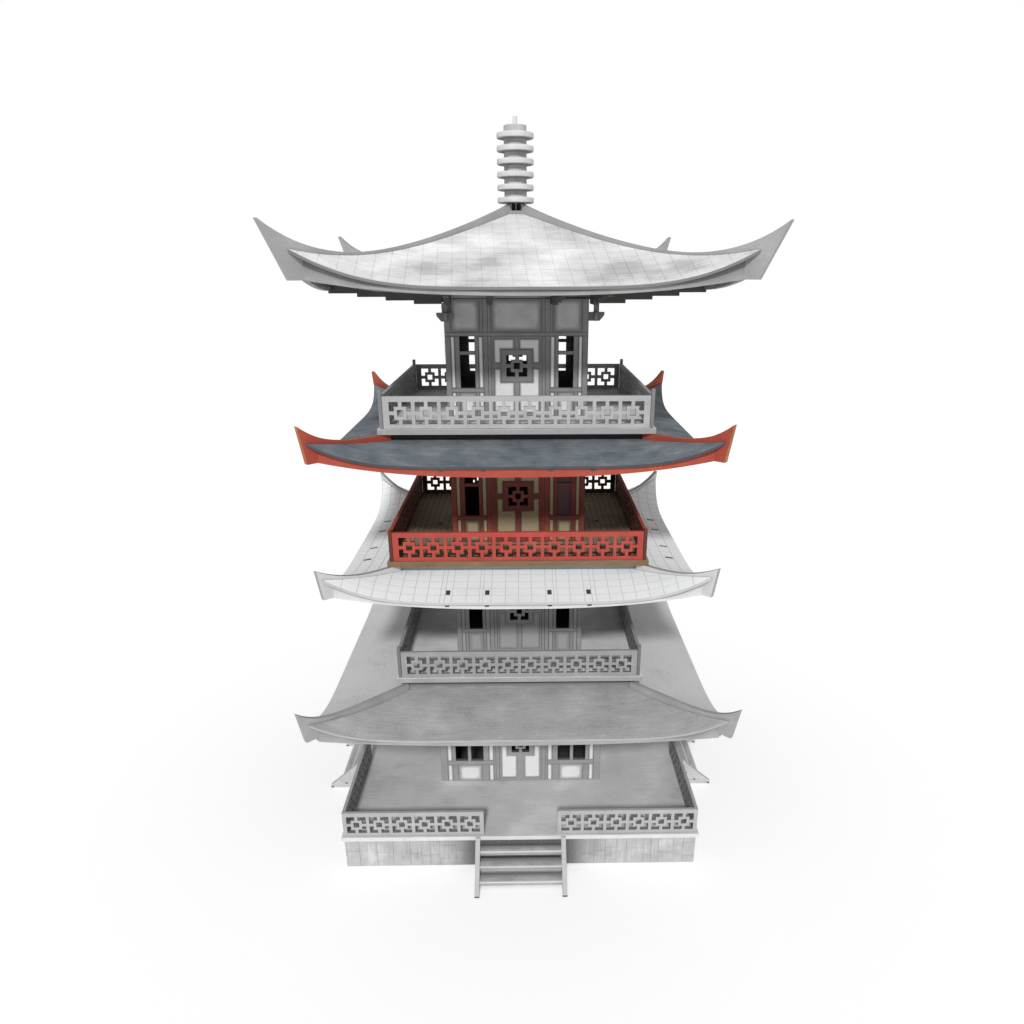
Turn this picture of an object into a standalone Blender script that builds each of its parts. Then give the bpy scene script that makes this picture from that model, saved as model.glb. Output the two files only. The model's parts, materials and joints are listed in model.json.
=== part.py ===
"""A four-storey pagoda model cut from thin sheet board, with loose storeys stacked on each other.

Metres, +Z up. The front looks along -Y. The origin is on the ground, under the middle of the plinth.
"""
import math

import bmesh
import bpy
from mathutils import Matrix

# Sheets and fits
SHEET = 0.003            # board of decks, ceilings, hips, fascias and stairs
WALL_SHEET = 0.002       # board of walls and fences
SHINGLE_SHEET = 0.0015   # bent board of the roof panels
FIT = 0.0003             # clearance between pieces that touch

# Plinth, decks and storeys
PLINTH_HEIGHT = 0.0217
GROUND_DECK_HALF = 0.1190
DECK_OVERHANG = 0.0015   # ground deck over the plinth
PLINTH_HALF = GROUND_DECK_HALF - DECK_OVERHANG
BALCONY_HALF = 0.0815
GROUND_WALL_HEIGHT = 0.0710
MIDDLE_WALL_HEIGHT = 0.0575
TOP_WALL_HEIGHT = 0.0700
GROUND_WALL_HALF = 0.0580
UPPER_WALL_HALF = 0.0435
WALL_HEIGHT = {1: GROUND_WALL_HEIGHT, 2: MIDDLE_WALL_HEIGHT, 3: MIDDLE_WALL_HEIGHT, 4: TOP_WALL_HEIGHT}
WALL_HALF = {1: GROUND_WALL_HALF, 2: UPPER_WALL_HALF, 3: UPPER_WALL_HALF, 4: UPPER_WALL_HALF}

# Windows and doors, heights above the deck
WINDOW_SILL = 0.0180
WINDOW_HEAD = 0.0485
TRANSOM_FOOT = 0.0377
TRANSOM_DEPTH = 0.0022
GROUND_WINDOW_NEAR = 0.0270
UPPER_WINDOW_NEAR = 0.0256
GROUND_WINDOW_WIDTH = 0.0200
UPPER_WINDOW_WIDTH = 0.0090
WINDOW_NEAR = {1: GROUND_WINDOW_NEAR, 2: UPPER_WINDOW_NEAR, 3: UPPER_WINDOW_NEAR, 4: UPPER_WINDOW_NEAR}
WINDOW_WIDTH = {1: GROUND_WINDOW_WIDTH, 2: UPPER_WINDOW_WIDTH, 3: UPPER_WINDOW_WIDTH, 4: UPPER_WINDOW_WIDTH}
MULLION_WIDTH = 0.0025
PANES = {1: 2, 2: 1, 3: 1, 4: 1}
DOOR_FRET_HALF = 0.0063
DOOR_FRET_HEIGHT = 0.0312

# Fences of pierced board
FRET_PITCH = 0.0150
FRET_SIZE = 0.0125
FENCE_HEIGHT = 0.0185
FENCE_FOOT_RAIL = 0.0027
FENCE_INSET = 0.0015     # deck edge to the outside of a fence
FENCE_END = 0.0028       # least board beside the last fret of a fence
STAIR_WAY_HALF = 0.0240  # least half width of the way between the ground fences
POST_WIDTH = 0.0030
POST_RISE = {2: 0.0035, 3: 0.0015, 4: 0.0035}

# Stairs
STAIR_HALF = 0.0299
STAIR_RUN = 0.0285
TREADS = 3
TREAD_DEPTH = 0.0085
STRING_TOE = 0.0020      # height of a stair board's end at the ground
STRING_STAND = 0.0016    # how far a stair board rises over the noses of the treads

# Roofs, one value for each
GROUND_ROOF_HEIGHT = 0.0271   # underside of a ceiling to the top of the next deck
SECOND_ROOF_HEIGHT = 0.0239
THIRD_ROOF_HEIGHT = 0.0243
ROOF_HEIGHT = {1: GROUND_ROOF_HEIGHT, 2: SECOND_ROOF_HEIGHT, 3: THIRD_ROOF_HEIGHT}
GROUND_EAVE_HALF = 0.1270
SECOND_EAVE_HALF = 0.1125
THIRD_EAVE_HALF = 0.1130
TOP_EAVE_HALF = 0.1150
EAVE_HALF = {1: GROUND_EAVE_HALF, 2: SECOND_EAVE_HALF, 3: THIRD_EAVE_HALF, 4: TOP_EAVE_HALF}
EAVE_DROP = {1: 0.0062, 2: 0.0066, 3: 0.0073, 4: 0.0390}
CORNER_LIFT = {1: 0.0093, 2: 0.0155, 3: 0.0132, 4: 0.0161}
LIFT_REACH_POWER = {1: 3.0, 2: 1.3, 3: 1.2, 4: 4.0}    # how late the lift sets in on the way out
TIP_REACH = {1: 0.0063, 2: 0.0043, 3: 0.0049, 4: 0.0134}   # tip of a hip board past the eave
TIP_RISE = {1: 0.0223, 2: 0.0223, 3: 0.0235, 4: 0.0305}
TIP_LEAN = {1: 0.0029, 2: 0.0023, 3: 0.0027, 4: 0.0101}
HIP_FOOT_RISE = {1: 0.0010, 2: 0.0035, 3: 0.0022, 4: 0.0030}
HIP_FOOT_LENGTH = 0.0058
HIP_DIP = {1: 0.0035, 2: 0.0, 3: 0.0}    # top of a hip board under the next deck
HIP_SWEEP_POWER = {1: 5.5, 2: 2.5, 3: 3.4, 4: 7.0}
HIP_STAND = 0.0020       # hip board over the panels of the top roof
HIP_BELLY_SHARE = 0.35   # height of a hip board's underside halfway out
CURB_HALF = 0.0750       # outside of the curb that carries the next balcony
CURB_HEIGHT = {1: 0.0076, 2: 0.0043, 3: 0.0039}
FASCIA_INSET = 0.0030
FASCIA_DEPTH = {1: 0.0038, 2: 0.0036, 3: 0.0053, 4: 0.0036}
FASCIA_FOOT_LIFT = {1: 0.0043, 2: 0.0081, 3: 0.0088, 4: 0.0077}
LIFT_POWER = 2.6
SAG = 0.12
RAFTER_PLACES = (-0.0425, -0.0190, 0.0190, 0.0425)
RAFTER_STEPS = 4
RAFTER_FOOT_DROP = 0.0032
RAFTER_RISE = 0.0060
ROOF_TURN = {1: 0.0, 2: 0.0, 3: 0.0, 4: math.radians(3.5)}   # the top roof sits a little askew

# Finial
CAP_HALF = 0.0068
APEX_STAND = 0.0470      # underside of the top ceiling to the flat on top of the roof
FINIAL_FOOT = 0.0062
FINIAL_FOOT_RADIUS = 0.0026
DISC_COUNT = 6
DISC_RADIUS = 0.0112
DISC_THICKNESS = 0.0030
DRUM_RADIUS = 0.0069
DISC_PITCH = 0.0070
FINIAL_CAP = 0.0042
PIN_RADIUS = 0.0013
PIN_LENGTH = 0.0046
ROUND_SIDES = 16

PANEL_STEPS_OUT = 4
PANEL_STEPS_ACROSS = 8
RAFTER_HEAD_STEPS = 3
HIP_SWEEP_STEPS = 10
FLAT_ANGLE = math.radians(0.02)
MILLIMETRES = 1000.0

SIDES = ("front", "right", "back", "left")
STOREYS = (1, 2, 3, 4)


def deck_top(level):
    """Height of a storey's floor."""
    if level == 1:
        return PLINTH_HEIGHT + FIT + SHEET
    return ceiling_foot(level - 1) + ROOF_HEIGHT[level - 1]


def wall_foot(level):
    return deck_top(level) + FIT


def ceiling_foot(level):
    return wall_foot(level) + WALL_HEIGHT[level] + FIT


def deck_foot(level):
    """Height of the frame and the curb under a balcony deck, with the clearance to it."""
    return deck_top(level) - SHEET - FIT


def panel_top(level):
    """Height of the roof panels at their inner edge."""
    if level == STOREYS[-1]:
        return ceiling_foot(level) + APEX_STAND
    return deck_foot(level + 1) - CURB_HEIGHT[level]


def panel_inner(level):
    """Half width of the curb, or of the cap on the top roof, that the panels start from."""
    return CAP_HALF if level == STOREYS[-1] else CURB_HALF


def panel_height(level, out, across):
    """Height of the roof's upper face at a distance out from the middle and across the side."""
    inner = panel_inner(level)
    reach = (out - inner) / (EAVE_HALF[level] - inner)
    fall = reach + SAG * reach * (1.0 - reach)
    spread = abs(across / out) ** LIFT_POWER
    lift = CORNER_LIFT[level] * max(reach, 0.0) ** LIFT_REACH_POWER[level] * spread
    return panel_top(level) - EAVE_DROP[level] * fall + lift


def eave_height(level):
    return panel_top(level) - EAVE_DROP[level]


def clear_scene():
    for old in list(bpy.data.objects):
        bpy.data.objects.remove(old, do_unlink=True)


def paint(name, color, roughness):
    material = bpy.data.materials.new(name)
    material.use_nodes = True
    shader = material.node_tree.nodes["Principled BSDF"]
    shader.inputs["Base Color"].default_value = (*color, 1.0)
    shader.inputs["Roughness"].default_value = roughness
    shader.inputs["Metallic"].default_value = 0.0
    return material


def add_object(name, mesh, material, turn=0.0):
    """One named piece, turned about the pagoda's upright axis."""
    thing = bpy.data.objects.new(name, mesh)
    thing.data.materials.clear()
    thing.data.materials.append(material)
    thing.rotation_euler = (0.0, 0.0, turn)
    bpy.context.scene.collection.objects.link(thing)


def board(outline, holes, thickness):
    """A flat closed board: outline and holes in local X and Y, thickness both ways along local Z."""
    curve = bpy.data.curves.new("outline", "CURVE")
    curve.dimensions = "2D"
    curve.fill_mode = "BOTH"
    curve.extrude = thickness / 2 * MILLIMETRES
    for ring in (outline, *holes):
        spline = curve.splines.new("POLY")
        spline.points.add(len(ring) - 1)
        for point, (across, up) in zip(spline.points, ring):
            point.co = (across * MILLIMETRES, up * MILLIMETRES, 0.0, 1.0)
        spline.use_cyclic_u = True
    carrier = bpy.data.objects.new("outline", curve)
    bpy.context.scene.collection.objects.link(carrier)
    depsgraph = bpy.context.evaluated_depsgraph_get()
    mesh = bpy.data.meshes.new_from_object(carrier.evaluated_get(depsgraph))
    bpy.data.objects.remove(carrier, do_unlink=True)
    bpy.data.curves.remove(curve)
    mesh.transform(Matrix.Diagonal((1 / MILLIMETRES, 1 / MILLIMETRES, 1 / MILLIMETRES, 1.0)))
    return weld(mesh)


def weld(mesh):
    work = bmesh.new()
    work.from_mesh(mesh)
    bmesh.ops.remove_doubles(work, verts=work.verts, dist=1e-6)
    bmesh.ops.recalc_face_normals(work, faces=work.faces)
    work.to_mesh(mesh)
    work.free()
    return mesh


def rectangle(left, right, foot, head):
    return [(left, foot), (right, foot), (right, head), (left, head)]


def stand(mesh, quarter, out, foot):
    """Stand a board on edge on one side, its middle plane at a distance out from the axis."""
    upright = Matrix.Translation((0.0, -out, foot)) @ Matrix.Rotation(math.pi / 2, 4, "X")
    mesh.transform(Matrix.Rotation(quarter * math.pi / 2, 4, "Z") @ upright)
    return mesh


def plate(half, foot, thickness, hole_half=0.0):
    """A level square plate, or a square ring where hole_half is given."""
    holes = [rectangle(-hole_half, hole_half, -hole_half, hole_half)] if hole_half else []
    mesh = board(rectangle(-half, half, -half, half), holes, thickness)
    mesh.transform(Matrix.Translation((0.0, 0.0, foot + thickness / 2)))
    return mesh


def fuse(meshes):
    """One closed body from meshes that overlap.

    Crossed boards have edges in one plane, where the exact solver leaves the union open.
    """
    scene = bpy.context.scene
    first, *others = [bpy.data.objects.new("part", mesh) for mesh in meshes]
    scene.collection.objects.link(first)
    for other in others:
        scene.collection.objects.link(other)
        joint = first.modifiers.new("union", "BOOLEAN")
        joint.operation = "UNION"
        joint.solver = "MANIFOLD"
        joint.object = other
    depsgraph = bpy.context.evaluated_depsgraph_get()
    result = bpy.data.meshes.new_from_object(first.evaluated_get(depsgraph))
    for thing in (first, *others):
        bpy.data.objects.remove(thing, do_unlink=True)
    return merge_flat_faces(weld(result))


def merge_flat_faces(mesh):
    work = bmesh.new()
    work.from_mesh(mesh)
    bmesh.ops.dissolve_limit(work, angle_limit=FLAT_ANGLE, verts=work.verts, edges=work.edges)
    bmesh.ops.triangulate(work, faces=work.faces)
    work.to_mesh(mesh)
    work.free()
    return mesh


def make_plinth(material):
    """Four board walls under the ground deck; the side walls stand between the front and the back."""
    side_half = PLINTH_HALF - SHEET - FIT
    for quarter, side in enumerate(SIDES):
        half = PLINTH_HALF if side in ("front", "back") else side_half
        mesh = board(rectangle(-half, half, 0.0, PLINTH_HEIGHT), [], SHEET)
        add_object(f"plinth_{side}_wall", stand(mesh, quarter, PLINTH_HALF - SHEET / 2, 0.0), material)


def make_ground_deck(material):
    add_object("ground_deck", plate(GROUND_DECK_HALF, PLINTH_HEIGHT + FIT, SHEET), material)


def fret_count(length):
    """Whole frets that a length of fence takes."""
    return int((length + FRET_PITCH - FRET_SIZE) / FRET_PITCH)


def frets_length(count):
    return count * FRET_PITCH - (FRET_PITCH - FRET_SIZE)


def fence_openings(first, count):
    """One square opening for each fret of a fence, from the left edge of the first."""
    foot = FENCE_FOOT_RAIL
    starts = [first + FRET_PITCH * n for n in range(count)]
    return [rectangle(left, left + FRET_SIZE, foot, foot + FRET_SIZE) for left in starts]


def make_ground_fences(material):
    """Two fences on each side, with the stair's way between them."""
    corner = GROUND_DECK_HALF - FENCE_INSET
    count = fret_count(corner - STAIR_WAY_HALF - 2 * FENCE_END)
    length = frets_length(count) + 2 * FENCE_END
    foot = deck_top(1) + FIT
    for quarter, side in enumerate(SIDES):
        end = corner if side in ("front", "back") else corner - WALL_SHEET - FIT
        for hand, direction in (("left", -1), ("right", 1)):
            outer, inner = direction * end, direction * (corner - length)
            left, right = min(outer, inner), max(outer, inner)
            first = min(direction * corner, inner) + FENCE_END
            openings = fence_openings(first, count)
            mesh = board(rectangle(left, right, 0.0, FENCE_HEIGHT), openings, WALL_SHEET)
            stand(mesh, quarter, corner - WALL_SHEET / 2, foot)
            add_object(f"ground_{side}_fence_{hand}", mesh, material)


def stair_string():
    """Outline of a stair board: out from the plinth along X, up along Y."""
    head = deck_top(1)
    return [(0.0, 0.0), (STAIR_RUN, 0.0), (STAIR_RUN, STRING_TOE),
            (STRING_STAND, head), (0.0, head)]


def make_stairs(material):
    """A flight on each side: two boards with three open treads between them."""
    near = GROUND_DECK_HALF + FIT
    rise = deck_top(1) / (TREADS + 1)
    going = STAIR_RUN / (TREADS + 1)
    for quarter, side in enumerate(SIDES):
        pieces = []
        for direction in (-1, 1):
            mesh = board(stair_string(), [], SHEET)
            mesh.transform(Matrix.Rotation(-math.pi / 2, 4, "Z") @ Matrix.Rotation(math.pi / 2, 4, "X"))
            mesh.transform(Matrix.Translation((direction * (STAIR_HALF - SHEET / 2), -near, 0.0)))
            pieces.append(mesh)
        half = STAIR_HALF - SHEET / 2
        for tread in range(1, TREADS + 1):
            nose = near + going * tread - STRING_STAND / 2
            back = max(nose - TREAD_DEPTH, near)
            mesh = board(rectangle(-half, half, -nose, -back), [], SHEET)
            head = deck_top(1) - rise * tread - STRING_STAND / 2
            mesh.transform(Matrix.Translation((0.0, 0.0, head - SHEET / 2)))
            pieces.append(mesh)
        mesh = fuse(pieces)
        mesh.transform(Matrix.Rotation(quarter * math.pi / 2, 4, "Z"))
        add_object(f"{side}_stair", mesh, material)


def window_panes(level):
    """The cut panes of both windows of a wall, split by a transom and on the ground by a mullion."""
    width = WINDOW_WIDTH[level]
    count = PANES[level]
    pane = (width - MULLION_WIDTH * (count - 1)) / count
    rows = ((WINDOW_SILL, TRANSOM_FOOT), (TRANSOM_FOOT + TRANSOM_DEPTH, WINDOW_HEAD))
    panes = []
    for start in (WINDOW_NEAR[level], -WINDOW_NEAR[level] - width):
        for n in range(count):
            left = start + n * (pane + MULLION_WIDTH)
            panes += [rectangle(left, left + pane, foot, head) for foot, head in rows]
    return panes


def make_walls(level, material):
    """Four walls of a storey, each with a closed door between two windows."""
    half_out = WALL_HALF[level]
    fret = rectangle(-DOOR_FRET_HALF, DOOR_FRET_HALF,
                     DOOR_FRET_HEIGHT - DOOR_FRET_HALF, DOOR_FRET_HEIGHT + DOOR_FRET_HALF)
    for quarter, side in enumerate(SIDES):
        half = half_out if side in ("front", "back") else half_out - WALL_SHEET - FIT
        outline = rectangle(-half, half, 0.0, WALL_HEIGHT[level])
        mesh = board(outline, [*window_panes(level), fret], WALL_SHEET)
        stand(mesh, quarter, half_out - WALL_SHEET / 2, wall_foot(level))
        add_object(f"storey_{level}_{side}_wall", mesh, material)


def make_balcony(level, deck_material, fence_material):
    """A balcony deck with a fence on each side; the side fences end in corner posts."""
    foot = deck_top(level) + FIT
    add_object(f"balcony_{level}_deck", plate(BALCONY_HALF, deck_top(level) - SHEET, SHEET), deck_material)
    outside = BALCONY_HALF - FENCE_INSET
    count = fret_count(2 * (outside - WALL_SHEET - FIT - FENCE_END))
    openings = fence_openings(-frets_length(count) / 2, count)
    for quarter, side in enumerate(SIDES):
        if side in ("front", "back"):
            half = outside - WALL_SHEET - FIT
            outline = rectangle(-half, half, 0.0, FENCE_HEIGHT)
        else:
            outline = posted_outline(outside, FENCE_HEIGHT, POST_RISE[level])
        mesh = board(outline, openings, WALL_SHEET)
        stand(mesh, quarter, outside - WALL_SHEET / 2, foot)
        add_object(f"balcony_{level}_{side}_fence", mesh, fence_material)


def posted_outline(half, height, rise):
    """A fence outline whose ends rise as posts over its top rail."""
    shoulder = half - POST_WIDTH
    return [(-half, 0.0), (half, 0.0), (half, height + rise), (shoulder, height + rise),
            (shoulder, height), (-shoulder, height), (-shoulder, height + rise), (-half, height + rise)]


def make_roof_panel(level):
    """One bent panel: its upper and lower faces have the same plan, so its edges are upright."""
    inner = panel_inner(level) - SHEET / 2
    edge_gap = (SHEET / 2 + FIT) * math.sqrt(2.0)
    work = bmesh.new()
    layers = []
    for drop in (0.0, SHINGLE_SHEET):
        rows = []
        for i in range(PANEL_STEPS_OUT + 1):
            out = inner + (EAVE_HALF[level] - inner) * i / PANEL_STEPS_OUT
            half = out - edge_gap
            row = []
            for j in range(PANEL_STEPS_ACROSS + 1):
                across = half * (2 * j / PANEL_STEPS_ACROSS - 1)
                height = panel_height(level, max(out, panel_inner(level)), across) - drop
                row.append(work.verts.new((across, -out, height)))
            rows.append(row)
        layers.append(rows)
    top, under = layers
    for rows, flip in ((top, False), (under, True)):
        for i in range(PANEL_STEPS_OUT):
            for j in range(PANEL_STEPS_ACROSS):
                corners = [rows[i][j], rows[i + 1][j], rows[i + 1][j + 1], rows[i][j + 1]]
                work.faces.new(corners[::-1] if flip else corners)
    rim_top = panel_rim(top)
    rim_under = panel_rim(under)
    for n in range(len(rim_top)):
        following = (n + 1) % len(rim_top)
        work.faces.new([rim_top[n], rim_top[following], rim_under[following], rim_under[n]])
    bmesh.ops.recalc_face_normals(work, faces=work.faces)
    mesh = bpy.data.meshes.new("panel")
    work.to_mesh(mesh)
    work.free()
    return mesh


def panel_rim(rows):
    """The vertices round a grid's edge, in order."""
    last_column = [row[-1] for row in rows[1:]]
    last_row = rows[-1][-2::-1]
    first_column = [row[0] for row in rows[-2:0:-1]]
    return [*rows[0], *last_column, *last_row, *first_column]


def make_roof_panels(level, material, turn):
    """Four bent panels joined by the curb that carries the next balcony, or by the cap on top."""
    pieces = []
    for quarter in range(4):
        mesh = make_roof_panel(level)
        mesh.transform(Matrix.Rotation(quarter * math.pi / 2, 4, "Z"))
        pieces.append(mesh)
    foot = panel_top(level) - SHINGLE_SHEET
    if level == STOREYS[-1]:
        pieces.insert(0, plate(CAP_HALF, foot, SHINGLE_SHEET))
    else:
        thickness = SHINGLE_SHEET + CURB_HEIGHT[level]
        pieces.insert(0, plate(CURB_HALF, foot, thickness, CURB_HALF - SHEET))
    add_object(f"roof_{level}_panels", fuse(pieces), material, turn)


def frame_top(level, out, across):
    """Height that the frame may reach under the panels, or under the curb or cap inside them."""
    inner = panel_inner(level)
    return panel_height(level, max(out, inner), across) - SHINGLE_SHEET - FIT


def hip_outline(level):
    """Outline of a hip board from tip to tip, along one of the roof's diagonals."""
    stretch = math.sqrt(2.0)
    inner = panel_inner(level)
    eave = EAVE_HALF[level]
    tip = eave + TIP_REACH[level]
    tip_height = eave_height(level) + TIP_RISE[level]
    foot_height = eave_height(level) + HIP_FOOT_RISE[level]
    foot_out = tip - TIP_LEAN[level]
    low = ceiling_foot(level) + SHEET / 2
    start = inner + FIT
    upper = [(0.0, frame_top(level, inner, 0.0)), (start, frame_top(level, inner, 0.0))]
    if level == STOREYS[-1]:
        upper += [(start, panel_height(level, start, start) + HIP_STAND)]
        bend = start
    else:
        bend = BALCONY_HALF
        head = deck_foot(level + 1) - HIP_DIP[level]
        upper += [(start, head), (bend, head)]
    upper += hip_sweep(level, bend, upper[-1][1], tip, tip_height)
    lower = [(foot_out, foot_height), (foot_out - HIP_FOOT_LENGTH, foot_height)]
    wall = WALL_HALF[level]
    belly_out = (eave + wall) / 2
    belly = low + (foot_height - low) * HIP_BELLY_SHARE
    lower += [(belly_out, belly), (wall, low)]
    half = [(out * stretch, height) for out, height in upper[1:] + lower]
    return half + [(-out, height) for out, height in half[::-1]]


def hip_sweep(level, start, start_height, tip, tip_height):
    """Points of a hip's upper edge from where it leaves the curb to the tip."""
    points = []
    for n in range(1, HIP_SWEEP_STEPS + 1):
        share = n / HIP_SWEEP_STEPS
        out = start + (tip - start) * share
        if level == STOREYS[-1]:
            height = panel_height(level, out, out) + HIP_STAND
            extra = tip_height - panel_height(level, tip, tip) - HIP_STAND
            height += extra * share ** HIP_SWEEP_POWER[level]
        else:
            height = start_height + (tip_height - start_height) * share ** HIP_SWEEP_POWER[level]
        points.append((out, height))
    return points


def fascia_outline(level):
    """Outline of the board under an eave, curved with the roof panel above it."""
    out = EAVE_HALF[level] - FASCIA_INSET
    half = out
    steps = PANEL_STEPS_ACROSS
    head = []
    foot = []
    for n in range(steps + 1):
        across = half * (2 * n / steps - 1)
        head.append((across, fascia_head(level, across, half)))
        spread = abs(across / half) ** LIFT_POWER
        middle = frame_top(level, out, 0.0) - FASCIA_DEPTH[level]
        foot.append((across, middle + FASCIA_FOOT_LIFT[level] * spread))
    return foot + head[::-1]


def fascia_head(level, across, half):
    """Upper edge of a fascia: it stays under the flat facets between the panel's bends."""
    outer = EAVE_HALF[level] - FASCIA_INSET + SHEET / 2
    edge_gap = (SHEET / 2 + FIT) * math.sqrt(2.0)
    inner = EAVE_HALF[level] - FASCIA_INSET - SHEET / 2
    heights = []
    for out in (inner, outer):
        place = min(abs(across) / half, 1.0) * (out - edge_gap)
        heights.append(frame_top(level, out, place))
    return min(heights) - FIT


def rafter_face(level):
    """Where the deep part of a rafter starts, clear of the walls inside a roof that sits askew."""
    turn = ROOF_TURN[level]
    return WALL_HALF[level] / math.cos(turn) + (WALL_HALF[level] + SHEET) * math.tan(turn) + FIT


def rafter_outline(level, place):
    """Outline of a rafter: out from the axis along X, with a stepped underside."""
    start = WALL_HALF[level] - SHEET
    face = rafter_face(level)
    end = EAVE_HALF[level] - FASCIA_INSET
    low = ceiling_foot(level)
    points = [(start, low + SHEET / 2), (face, low + SHEET / 2), (face, low - RAFTER_FOOT_DROP)]
    tread = (end - face) / RAFTER_STEPS
    for n in range(1, RAFTER_STEPS + 1):
        height = low - RAFTER_FOOT_DROP + RAFTER_RISE * (n - 1) / (RAFTER_STEPS - 1)
        points.append((face + tread * n, height))
        if n < RAFTER_STEPS:
            points.append((face + tread * n, height + RAFTER_RISE / (RAFTER_STEPS - 1)))
    inner = panel_inner(level)
    outs = [end - (end - start) * n / RAFTER_HEAD_STEPS for n in range(RAFTER_HEAD_STEPS + 1)]
    for out in outs:
        reach = max(out, abs(place) + SHEET)
        points.append((out, frame_top(level, max(reach, inner), place) - 2 * FIT))
    return points


def make_roof_frame(level, material, turn):
    """Ceiling, crossed hip boards, fascias and rafters of one roof, glued into one frame."""
    pieces = [plate(WALL_HALF[level], ceiling_foot(level), SHEET)]
    for diagonal in range(2):
        mesh = board(hip_outline(level), [], SHEET)
        mesh.transform(Matrix.Rotation(math.pi / 2, 4, "X"))
        mesh.transform(Matrix.Rotation(math.pi / 4 + diagonal * math.pi / 2, 4, "Z"))
        pieces.append(mesh)
    for quarter in range(4):
        mesh = board(fascia_outline(level), [], SHEET)
        pieces.append(stand(mesh, quarter, EAVE_HALF[level] - FASCIA_INSET, 0.0))
        for place in RAFTER_PLACES:
            mesh = board(rafter_outline(level, place), [], SHEET)
            mesh.transform(Matrix.Rotation(math.pi / 2, 4, "X"))
            mesh.transform(Matrix.Translation((0.0, place, 0.0)))
            mesh.transform(Matrix.Rotation(quarter * math.pi / 2, 4, "Z"))
            pieces.append(mesh)
    add_object(f"roof_{level}_frame", fuse(pieces), material, turn)


def make_finial(material, turn):
    """Six discs on a stack of drums with a pin on top, turned as one profile."""
    foot = panel_top(STOREYS[-1]) + FIT
    profile = [(0.0, foot), (FINIAL_FOOT_RADIUS, foot), (FINIAL_FOOT_RADIUS, foot + FINIAL_FOOT)]
    height = foot + FINIAL_FOOT
    for _ in range(DISC_COUNT):
        profile += [(DISC_RADIUS, height), (DISC_RADIUS, height + DISC_THICKNESS),
                    (DRUM_RADIUS, height + DISC_THICKNESS), (DRUM_RADIUS, height + DISC_PITCH)]
        height += DISC_PITCH
    height += FINIAL_CAP - (DISC_PITCH - DISC_THICKNESS)
    profile[-1] = (DRUM_RADIUS, height)
    profile += [(PIN_RADIUS, height), (PIN_RADIUS, height + PIN_LENGTH), (0.0, height + PIN_LENGTH)]
    work = bmesh.new()
    verts = [work.verts.new((radius, 0.0, up)) for radius, up in profile]
    edges = [work.edges.new(pair) for pair in zip(verts, verts[1:])]
    bmesh.ops.spin(work, geom=verts + edges, cent=(0.0, 0.0, 0.0), axis=(0.0, 0.0, 1.0),
                   angle=2 * math.pi, steps=ROUND_SIDES, use_merge=True)
    bmesh.ops.remove_doubles(work, verts=work.verts, dist=1e-6)
    bmesh.ops.recalc_face_normals(work, faces=work.faces)
    mesh = bpy.data.meshes.new("finial")
    work.to_mesh(mesh)
    work.free()
    add_object("finial", mesh, material, turn)


def make_pagoda():
    clear_scene()
    stone_grey = paint("plinth_grey", (0.50, 0.50, 0.50), 0.85)
    deck_grey = paint("deck_grey", (0.38, 0.38, 0.38), 0.85)
    fence_grey = paint("fence_grey", (0.52, 0.52, 0.52), 0.8)
    wall_grey = paint("wall_grey", (0.45, 0.45, 0.45), 0.85)
    wall_cream = paint("wall_cream", (0.36, 0.28, 0.17), 0.85)
    deck_olive = paint("deck_olive", (0.09, 0.08, 0.05), 0.85)
    lacquer_red = paint("lacquer_red", (0.48, 0.09, 0.06), 0.7)
    slate_blue = paint("slate_blue", (0.13, 0.16, 0.19), 0.8)
    shingle_white = paint("shingle_white", (0.85, 0.85, 0.85), 0.85)
    shingle_grey = paint("shingle_grey", (0.48, 0.48, 0.48), 0.85)

    make_plinth(stone_grey)
    make_ground_deck(deck_grey)
    make_ground_fences(fence_grey)
    make_stairs(fence_grey)
    coloured = 3
    panel_paint = {1: shingle_grey, 2: shingle_white, 3: slate_blue, 4: shingle_grey}
    for level in STOREYS:
        red = level == coloured
        make_walls(level, wall_cream if red else wall_grey)
        if level > 1:
            make_balcony(level, deck_olive if red else deck_grey, lacquer_red if red else fence_grey)
        turn = ROOF_TURN[level]
        make_roof_frame(level, lacquer_red if red else fence_grey, turn)
        make_roof_panels(level, panel_paint[level], turn)
    make_finial(fence_grey, ROOF_TURN[STOREYS[-1]])


make_pagoda()
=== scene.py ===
"""Dresses the pagoda model: cut sheet board, painted in greys, with one storey in colour.

Lengths are millimetres until a finished mesh is scaled to metres. The front looks along -Y.
A board is drawn flat, along X and up Y, with its outer face towards +Z, and then stood in place.
"""
import json
import math
import random
from typing import NamedTuple

import bpy
from mathutils import Matrix, Vector
from mathutils.geometry import tessellate_polygon

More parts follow.
